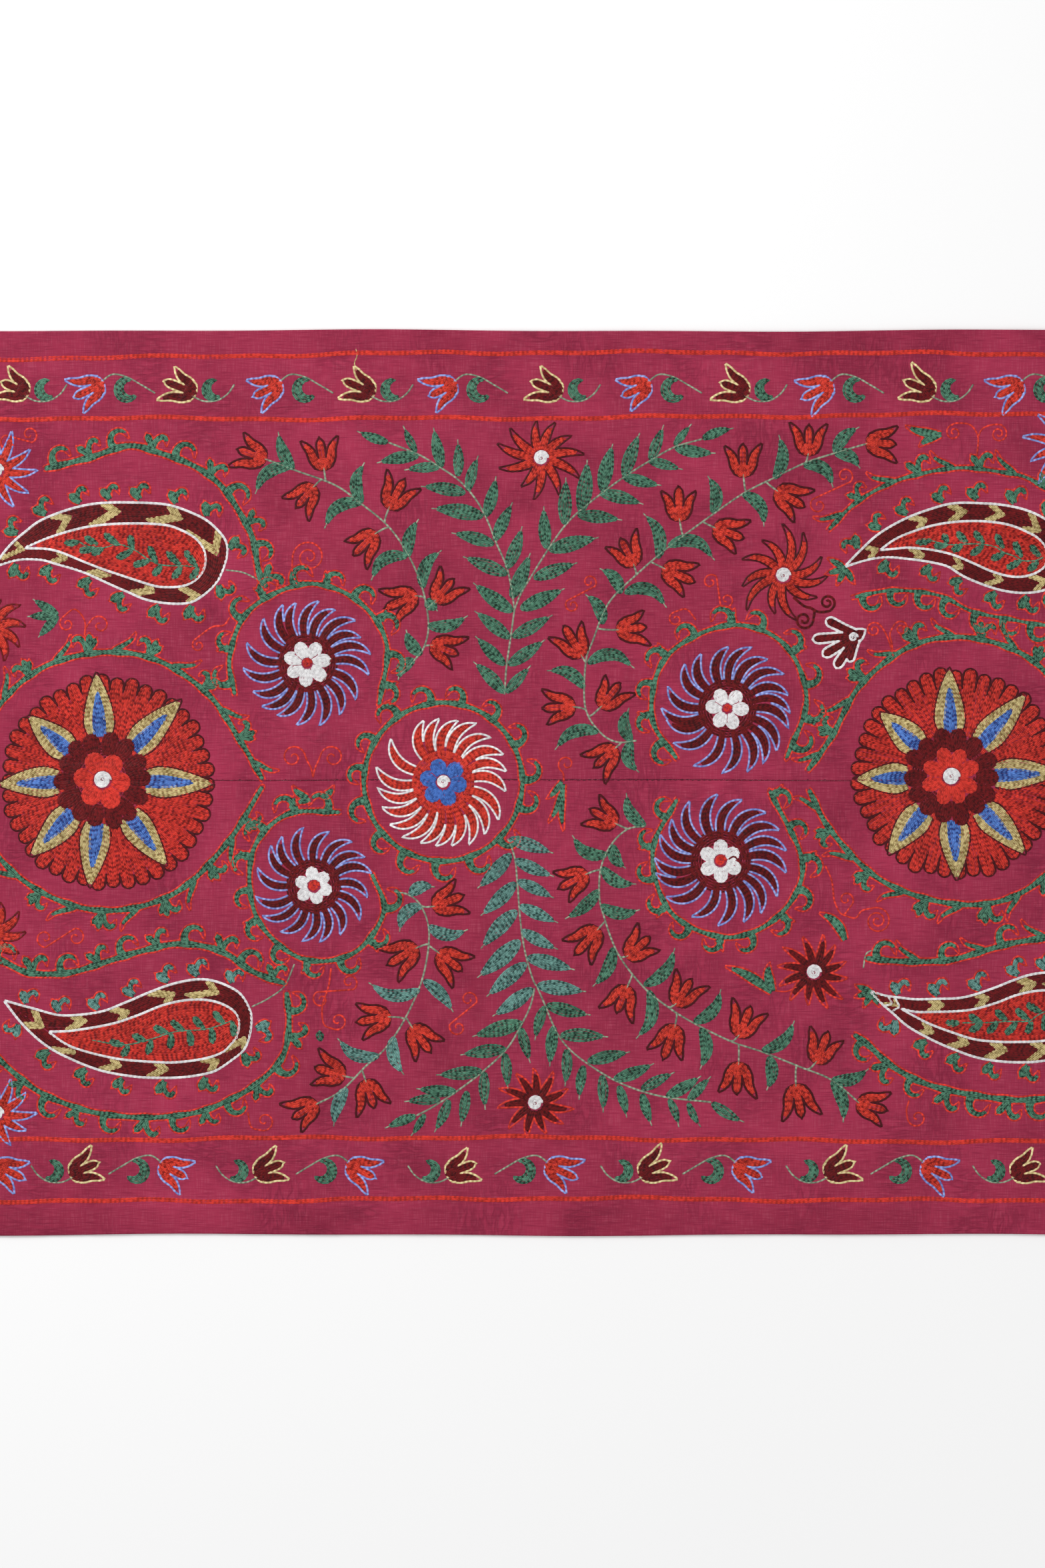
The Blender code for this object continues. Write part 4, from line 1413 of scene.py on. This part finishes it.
def edgeInset(along, half, seed):
    # How far an edge is pulled in, nothing at its corners
    fade = 1.0 - np.abs(along / half) ** 6
    return cloth["edgeWaver"] * (0.5 + 0.5 * waver(along, seed)) * fade


def onCloth(x, y):
    # Straight places moved onto the wavering edges and the wavering seam
    halfLength, halfWidth = cloth["length"] / 2, cloth["width"] / 2
    endPull = edgeInset(y, halfWidth, np.where(x < 0, 0.4, 3.1)) * np.abs(x / halfLength) ** 5
    upper = np.where(y > seamY, 1.0, -1.0)
    sidePull = edgeInset(x, halfLength, 5.2 + upper) * np.abs(y / halfWidth) ** 5
    nearSeam = np.clip(1.0 - np.abs(y - seamY) / cloth["seamReach"], 0.0, None)
    seamPull = nearSeam * cloth["seamWaver"] * waver(x, 1.7)
    return x - np.copysign(endPull, x), y - upper * sidePull + seamPull


def gridLines(start, end, startBands, endBands, cell):
    # Lines at each band's edge by both ends, and evenly spaced in between
    inner, outer = start + startBands[-1], end - endBands[-1]
    middle = np.linspace(inner, outer, int(math.ceil((outer - inner) / cell)) + 1)
    first, last = start + np.array(startBands[:-1]), end - np.array(endBands[:-1])[::-1]
    return np.concatenate([[start], first, middle, last, [end]])


# Meshes

def inScene(name, data):
    obj = bpy.data.objects.new(name, data)
    bpy.context.scene.collection.objects.link(obj)
    return obj


def putMesh(name, points, faces, slots, light, uv):
    # Whole arrays of points, quads, material slots, and the light each point catches go in at once
    mesh = bpy.data.meshes.new(name)
    mesh.vertices.add(len(points))
    mesh.vertices.foreach_set("co", np.asarray(points, np.float32).ravel())
    mesh.loops.add(faces.size)
    mesh.loops.foreach_set("vertex_index", faces.astype(np.int32).ravel())
    mesh.polygons.add(len(faces))
    mesh.polygons.foreach_set("loop_start", np.arange(0, faces.size, faces.shape[1], dtype=np.int32))
    mesh.polygons.foreach_set("material_index", slots.astype(np.int32))
    mesh.polygons.foreach_set("use_smooth", np.ones(len(faces), bool))
    mesh.update(calc_edges=True)
    mesh.attributes.new("light", "FLOAT", "POINT").data.foreach_set("value", light.astype(np.float32))
    layer = mesh.uv_layers.new(name="OFBake")
    layer.data.foreach_set("uv", uv[faces.ravel()].astype(np.float32).ravel())
    return inScene(name, mesh)


# One link's two cross-sections: place across as a share of the row's width, height as a share of the
# thread's, and the light caught, painted into the thread's colour. The strands are low and in painted shade
# where a loop begins, high with a painted highlight at its middle, and the row's sides are in painted
# shadow.
sections = {
    "across": np.array([[-0.45, -0.17, 0.0, 0.17, 0.45], [-0.50, -0.31, 0.0, 0.31, 0.50]]),
    "height": np.array([[0.06, 0.55, 0.46, 0.55, 0.06], [0.12, 1.0, 0.22, 1.0, 0.12]]),
    "light": np.array([[0.0, 0.16, 0.10, 0.16, 0.0], [0.30, 1.0, 0.0, 1.0, 0.30]]),
}
fineSections = {
    "across": np.array([[-0.45, -0.15, 0.15, 0.45], [-0.50, -0.19, 0.19, 0.50]]),
    "height": np.array([[0.06, 0.50, 0.50, 0.06], [0.12, 0.90, 0.90, 0.12]]),
    "light": np.array([[0.0, 0.15, 0.15, 0.0], [0.30, 0.70, 0.70, 0.30]]),
}
sectionPlaces = np.array([0.0, 0.52])  # how far along its link each section is, as a share


def chainRow(row, width, lift):
    # A row as a ribbon of links: the sections are carried along the row, one pair for each link
    far = lengths(row)
    shape = fineSections if width < chain["fineWidth"] else sections
    count = max(1, int(round(far[-1] / chain["link"])))
    step = far[-1] / count
    wide = shape["across"].shape[1]
    stations = (np.arange(count)[:, None] + sectionPlaces).ravel() * step
    stations = np.append(stations, far[-1])
    kind = np.append(np.tile([0, 1], count), 0)
    x, y = (np.interp(stations, far, row[:, axis]) for axis in (0, 1))
    reach = chain["reach"]
    ahead = np.column_stack([np.interp(stations + reach, far, row[:, axis]) for axis in (0, 1)])
    behind = np.column_stack([np.interp(stations - reach, far, row[:, axis]) for axis in (0, 1)])
    along = unit(ahead - behind)
    normal = np.column_stack([-along[:, 1], along[:, 0]])
    across = shape["across"][kind] * width
    points = np.stack([x[:, None] + normal[:, :1] * across, y[:, None] + normal[:, 1:] * across], axis=-1)
    # Painted light: each link's painted highlight and shade is made brighter or darker at random, and a
    # single row gets less painted shade
    catch = dice.uniform(-1, 1, (len(kind), 1)) * chain["unevenness"]
    light = np.clip(shape["light"][kind] + catch, 0.0, 1.0)
    if width < chain["rowPitch"]:
        light = chain["lineLight"] + (1.0 - chain["lineLight"]) * light
    base, more = chain["riseShare"]
    height = shape["height"][kind] * chain["rise"] * (base + more * width / chain["lineWidth"]) + lift
    first = np.arange(len(kind) - 1)[:, None] * wide + np.arange(wide - 1)[None, :]
    quads = np.stack([first, first + wide, first + wide + 1, first + 1], axis=-1).reshape(-1, 4)
    return points.reshape(-1, 2), height.ravel(), light.ravel(), quads


def toMetres(points):
    # Design units to the model's x and y
    x = (points[:, 0] - design["middle"][0]) * design["pixel"]
    y = (points[:, 1] + design["middle"][1]) * design["pixel"]
    return x, y


def planMap(x, y):
    # A map seen from straight above, filling the unit square
    span = max(x.max() - x.min(), y.max() - y.min()) * bakeMap["spare"]
    return np.column_stack([(x - x.min()) / span, (y - y.min()) / span]) + bakeMap["inset"]


def makePiece(name, rows):
    # All of a piece's rows in one mesh, with a material for each thread, laid on the cloth
    used = sorted({thread for thread, *_ in rows})
    parts = [chainRow(row, width, lift) for _, row, width, lift in rows]
    starts = np.cumsum([0] + [len(part[0]) for part in parts[:-1]])
    flat = np.vstack([part[0] for part in parts])
    faces = np.vstack([part[3] + start for part, start in zip(parts, starts)])
    slots = np.concatenate([np.full(len(part[3]), used.index(row[0])) for part, row in zip(parts, rows)])
    light = np.concatenate([part[2] for part in parts])
    x, y = toMetres(flat)
    z = clothTop(x, y) + np.concatenate([part[1] for part in parts]) - chain["sunk"]
    obj = putMesh(name, np.column_stack([x, y, z]), faces, slots, light, planMap(x, y))
    for thread in used:
        obj.data.materials.append(threadMaterial(thread))
    return obj


# Materials

def linear(code):
    # An sRGB hex colour as the linear numbers that shaders use, and full cover
    levels = [int(code[start:start + 2], 16) / 255.0 for start in (1, 3, 5)]
    return (*(level / 12.92 if level <= 0.04045 else ((level + 0.055) / 1.055) ** 2.4
              for level in levels), 1)


def addNode(tree, kind, settings=None, inputs=None):
    # One node: settings are its own properties, inputs are its sockets' values or the sockets that feed them
    node = tree.nodes.new(kind)
    for name, value in (settings or {}).items():
        setattr(node, name, value)
    for name, value in (inputs or {}).items():
        if isinstance(value, bpy.types.NodeSocket):
            tree.links.new(value, node.inputs[name])
        else:
            node.inputs[name].default_value = value
    return node


def noise(tree, spot, scale, detail, more=None):
    inputs = {"Vector": spot, "Scale": scale, "Detail": detail, **(more or {})}
    return addNode(tree, "ShaderNodeTexNoise", None, inputs).outputs["Fac"]


def stretched(tree, spot, scale, start=(0, 0, 0)):
    # A place for a noise that is finer one way than the other
    return addNode(tree, "ShaderNodeMapping", None, {"Vector": spot, "Scale": scale,
        "Location": start}).outputs[0]


def ranged(tree, value, span, result):
    # A value within the first pair of numbers becomes one within the second
    inputs = {"Value": value, "From Min": span[0], "From Max": span[1], "To Min": result[0],
        "To Max": result[1]}
    return addNode(tree, "ShaderNodeMapRange", None, inputs).outputs[0]


def worked(tree, operation, *values):
    return addNode(tree, "ShaderNodeMath", {"operation": operation}, dict(enumerate(values))).outputs[0]


def blend(tree, share, first, second):
    return addNode(tree, "ShaderNodeMix", {"data_type": "RGBA"},
        {0: share, 6: first, 7: second}).outputs[2]


def startMaterial(name):
    material = bpy.data.materials.new(name)
    material.use_nodes = True
    tree = material.node_tree
    shader = tree.nodes["Principled BSDF"]
    return material, tree, shader


def finishMaterial(tree, shader, colour, level, height, look):
    # The colour at its level of brightness, the small relief, and how the surface shines
    toned = addNode(tree, "ShaderNodeVectorMath", {"operation": "SCALE"}, {0: colour, "Scale": level})
    relief = {"Height": height, "Strength": look["bump"], "Distance": look["bumpDistance"]}
    bump = addNode(tree, "ShaderNodeBump", None, relief)
    tree.links.new(toned.outputs[0], shader.inputs["Base Color"])
    tree.links.new(bump.outputs[0], shader.inputs["Normal"])
    shader.inputs["Roughness"].default_value = look["roughness"]
    shader.inputs["Specular IOR Level"].default_value = look["specular"]


threadLook = {
    "roughness": 0.5, "specular": 0.16,
    "bump": 0.35, "bumpDistance": 0.0002,
    "noise": (0.3, 0.7),  # the part of both noises that counts
    "fibre": 0.00045,  # fibres' pitch in metres, drawn three times too coarse so that it shows
    "fibreLevel": (0.9, 1.1),
    "dyeLot": 0.03,  # metres over which the dye changes
    "dyeLevel": (0.86, 1.1),
}
madeThreads = {}


def threadMaterial(thread):
    # Twisted silk floss: a painted highlight on its strands and painted shade between them, its dye a little
    # uneven
    if thread in madeThreads:
        return madeThreads[thread]
    material, tree, shader = startMaterial("silk_floss_" + thread)
    light, dark = (linear(code) for code in threads[thread])
    caught = addNode(tree, "ShaderNodeAttribute", {"attribute_name": "light"}).outputs["Fac"]
    spot = addNode(tree, "ShaderNodeTexCoord").outputs["Object"]
    dye = noise(tree, spot, 1 / threadLook["dyeLot"], 2.0)
    fibre = noise(tree, spot, 1 / threadLook["fibre"], 1.0)
    # Painted light: the attribute mixes the painted shade colour into the painted highlight colour
    shadedStrand = blend(tree, caught, dark, light)
    level = ranged(tree, dye, threadLook["noise"], threadLook["dyeLevel"])
    grain = ranged(tree, fibre, threadLook["noise"], threadLook["fibreLevel"])
    both = worked(tree, "MULTIPLY", level, grain)
    finishMaterial(tree, shader, shadedStrand, both, fibre, threadLook)
    madeThreads[thread] = material
    return material


cottonLook = {
    # crease and gap are painted shade: the colours of the wrinkles' lines and of the gaps between weft yarns
    "colour": "#a73451", "shade": "#902b44", "fleck": "#bc5a70", "gap": "#741f38", "creaseShade": "#5e172d",
    "roughness": 0.9, "specular": 0.1,
    "bump": 0.6, "bumpDistance": 0.0003,
    # metres over which the dye changes, and the noise's part that counts
    "wash": 0.11, "washNoise": (0.34, 0.66),
    "yarn": 0.0008,  # yarn pitch in metres, a little over the real one so that it shows
    "slub": 0.016,  # length of a thick place in the yarn
    "slubNoise": (1.0, 1.45), "slubShare": (0.0, 0.5),
    # painted shade in the gaps between weft yarns
    "gapShadeNoise": (0.47, 0.28), "gapShadeShare": (0.0, 0.48),
    "wrinkle": (0.0054, 0.017),  # width and length of the small wrinkles, metres
    "wrinkleSeeds": (3.1, 7.7), "wrinkleLine": (0.0, 0.15),
    "patches": 13.0, "patchNoise": (0.47, 0.68),
    "wrinkleShadeShare": 0.40, "wrinkleDepth": -2.2,
    # The hem, a shade darker, lies beyond this distance from the middle
    "hemLine": 0.350, "hemFade": 0.002, "hemLevel": 0.93,
}


def wrinkles(tree, spot, scale, seed):
    # Thin lines where a stretched noise crosses its middle value, kept to patches by a broad noise
    moved = stretched(tree, spot, scale, (seed, seed * 0.7, 0))
    fine = noise(tree, moved, 1.0, 2.5, {"Distortion": 0.4})
    broad = noise(tree, spot, cottonLook["patches"] + seed, 1.0)
    away = worked(tree, "ABSOLUTE", worked(tree, "SUBTRACT", fine, 0.5))
    line = ranged(tree, away, cottonLook["wrinkleLine"], (1.0, 0.0))
    patch = ranged(tree, broad, cottonLook["patchNoise"], (0.0, 1.0))
    return worked(tree, "MULTIPLY", line, patch)


def cottonMaterial():
    # Plain-woven madder cotton: matt, its dye washed uneven, pale slubs along both yarns, painted shade in
    # the gaps of the weft, and small puckers in the relief with painted shade along their lines
    material, tree, shader = startMaterial("madder_cotton")
    spot = addNode(tree, "ShaderNodeTexCoord").outputs["Object"]
    names = ("shade", "colour", "gap", "fleck", "creaseShade")
    shade, colour, gap, fleck, creaseShade = (linear(cottonLook[name]) for name in names)
    yarn, slub = 1 / cottonLook["yarn"], 1 / cottonLook["slub"]
    weft = noise(tree, stretched(tree, spot, (slub, yarn, 1.0)), 1.0, 2.0)
    warp = noise(tree, stretched(tree, spot, (yarn, slub, 1.0)), 1.0, 2.0)
    weave = worked(tree, "ADD", weft, warp)
    wash = noise(tree, spot, 1 / cottonLook["wash"], 6.0, {"Roughness": 0.65})
    ground = blend(tree, ranged(tree, wash, cottonLook["washNoise"], (0.0, 1.0)), shade, colour)
    # Painted shade: the gaps of the weft are darkened towards the gap colour
    gapShaded = blend(tree, ranged(tree, weft, cottonLook["gapShadeNoise"], cottonLook["gapShadeShare"]), ground, gap)
    flecked = blend(tree, ranged(tree, weave, cottonLook["slubNoise"], cottonLook["slubShare"]), gapShaded,
        fleck)
    thin, long = (1 / size for size in cottonLook["wrinkle"])
    uprightSeed, lyingSeed = cottonLook["wrinkleSeeds"]
    upright = wrinkles(tree, spot, (thin, long, 1.0), uprightSeed)
    lying = wrinkles(tree, spot, (long, thin, 1.0), lyingSeed)
    both = worked(tree, "MAXIMUM", upright, lying)
    # Painted shade: the wrinkles' lines are darkened towards the crease colour, besides their bump
    creaseShaded = blend(tree, worked(tree, "MULTIPLY", both, cottonLook["wrinkleShadeShare"]), flecked, creaseShade)
    parts = addNode(tree, "ShaderNodeSeparateXYZ", None, {0: spot})
    side = worked(tree, "ABSOLUTE", parts.outputs["Y"])
    hemEnd = cottonLook["hemLine"] + cottonLook["hemFade"]
    hem = ranged(tree, side, (cottonLook["hemLine"], hemEnd), (1.0, cottonLook["hemLevel"]))
    height = worked(tree, "ADD", weave, worked(tree, "MULTIPLY", both, cottonLook["wrinkleDepth"]))
    finishMaterial(tree, shader, creaseShaded, hem, height, cottonLook)
    return material


def makeSheet(name, side, material):
    # The face is a grid moved onto the cloth's outline; its rim goes down to a flat underside
    seamEdge = seamY + side * cloth["seamGap"] / 2
    outer = side * cloth["width"] / 2
    step = cloth["stepWidth"] / 2
    hem = [cloth["roundEdge"] * share for share in cloth["edgeLines"]]
    hem = hem + [cloth["hem"] - step, cloth["hem"], cloth["hem"] + step]
    seam = [cloth["grooveWidth"] * share for share in cloth["grooveLines"]]
    columns = gridLines(-cloth["length"] / 2, cloth["length"] / 2, hem, hem, cloth["cell"])
    if side > 0:
        rows = gridLines(seamEdge, outer, seam, hem, cloth["cell"])
    else:
        rows = gridLines(outer, seamEdge, hem, seam, cloth["cell"])
    x, y = (grid.ravel() for grid in np.meshgrid(columns, rows))
    toEdge = np.minimum(cloth["length"] / 2 - np.abs(x), cloth["width"] / 2 - np.abs(y))
    roundness = np.sqrt(1.0 - np.clip(1.0 - toEdge / cloth["roundEdge"], 0.0, 1.0) ** 2)
    least, more = cloth["edgeShare"]
    z = clothTop(x, y) * (least + more * roundness)
    x, y = onCloth(x, y)
    wide, high = len(columns), len(rows)
    first = (np.arange(high - 1)[:, None] * wide + np.arange(wide - 1)).ravel()
    face = np.stack([first, first + 1, first + 1 + wide, first + wide], axis=-1)
    index = np.arange(wide * high).reshape(high, wide)
    rim = np.concatenate([index[0, :-1], index[:-1, -1], index[-1, :0:-1], index[:0:-1, 0]])
    under = wide * high + np.arange(len(rim))
    wall = np.stack([under, np.roll(under, -1), np.roll(rim, -1), rim], axis=-1)
    points = np.column_stack([x, y, z])
    low = np.column_stack([x[rim], y[rim], np.zeros(len(rim))])
    hub = np.array([[0.0, (seamEdge + outer) / 2, 0.0]])
    hubIndex = len(points) + len(low)
    points = np.vstack([points, low, hub])
    base = np.stack([np.roll(under, -1), under, np.full(len(rim), hubIndex)], axis=-1)
    mesh = bpy.data.meshes.new(name)
    quads = np.vstack([face, wall]).tolist()
    mesh.from_pydata(points.tolist(), [], quads + base.tolist())
    mesh.update()
    mesh.polygons.foreach_set("use_smooth", np.ones(len(mesh.polygons), bool))
    mesh.materials.append(material)
    plan = points[:, :2] - points[:, :2].min(0) + bakeMap["margin"]
    out = np.zeros_like(plan)
    out[under] = np.sign(plan[under] - plan.mean(0)) * bakeMap["rim"]
    shelf = np.array([0.0, abs(outer - seamEdge) + bakeMap["gap"]])
    corners = np.vstack([plan[face.ravel()], (plan + out)[wall.ravel()], plan[base.ravel()] + shelf])
    corners = corners / (cloth["length"] * bakeMap["spare"])
    layer = mesh.uv_layers.new(name="OFBake")
    layer.data.foreach_set("uv", corners.astype(np.float32).ravel())
    return inScene(name, mesh)


cotton = cottonMaterial()
for name, side, node in (("cloth_upper", 1, "panel_upper"), ("cloth_lower", -1, "panel_lower")):
    sheet = makeSheet(name, side, cotton)
    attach(sheet, "root")
    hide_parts(node)
print("cloth laid")

triangles = 0
for name, rows in basket.items():
    piece = makePiece(name, rows)
    count = len(piece.data.polygons) * 2
    triangles += count
    print("sewn:", name, len(rows), "rows,", count, "triangles")
    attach(piece, "root")
print("embroidery:", triangles, "triangles")


# Floor, light and camera

studio = {
    "floor": "#fbfbfb",
    "floorSize": 14.0,
    "floorDrop": 0.0004,
    "world": 0.52,
    "keyPower": 70.0, "keySize": 1.6, "keyPlace": (-1.9, 1.6, 2.1),
    "fillPower": 22.0, "fillSize": 2.4, "fillPlace": (2.2, -1.4, 2.2),
    "lens": 85.0,
    "frameHeight": 2352.0,  # the photograph's long side in pixels
    "framePixel": (784.0, 1176.0),  # the pixel at its middle
}


def makeStudio():
    # White paper under the cloth, two soft lamps, and a camera straight above, so far off that the
    # photograph's frame fills the picture
    bpy.ops.mesh.primitive_plane_add(size=studio["floorSize"], location=(0, 0, -studio["floorDrop"]))
    floor = bpy.context.object
    floor.name = "floor"
    paint, tree, shader = startMaterial("matt_white_paper")
    shader.inputs["Base Color"].default_value = linear(studio["floor"])
    shader.inputs["Roughness"].default_value = 0.95
    floor.data.materials.append(paint)
    world = bpy.data.worlds.new("soft_white")
    world.use_nodes = True
    world.node_tree.nodes["Background"].inputs["Color"].default_value = (1, 1, 1, 1)
    world.node_tree.nodes["Background"].inputs["Strength"].default_value = studio["world"]
    bpy.context.scene.world = world
    for name in ("key", "fill"):
        lamp = bpy.data.lights.new(name, "AREA")
        lamp.energy = studio[name + "Power"]
        lamp.size = studio[name + "Size"]
        holder = inScene(name, lamp)
        holder.location = studio[name + "Place"]
        aim = -holder.location.normalized()
        holder.rotation_euler = aim.to_track_quat("-Z", "Y").to_euler()
    lens = bpy.data.cameras.new("camera")
    lens.lens = studio["lens"]
    camera = inScene("camera", lens)
    tall = studio["frameHeight"] * design["pixel"]
    away = tall * lens.lens / lens.sensor_width
    x = (studio["framePixel"][0] - design["middle"][0]) * design["pixel"]
    y = (design["middle"][1] - studio["framePixel"][1]) * design["pixel"]
    camera.location = (x, y, away)
    bpy.context.scene.camera = camera
    bpy.context.scene.view_settings.view_transform = "Standard"


makeStudio()
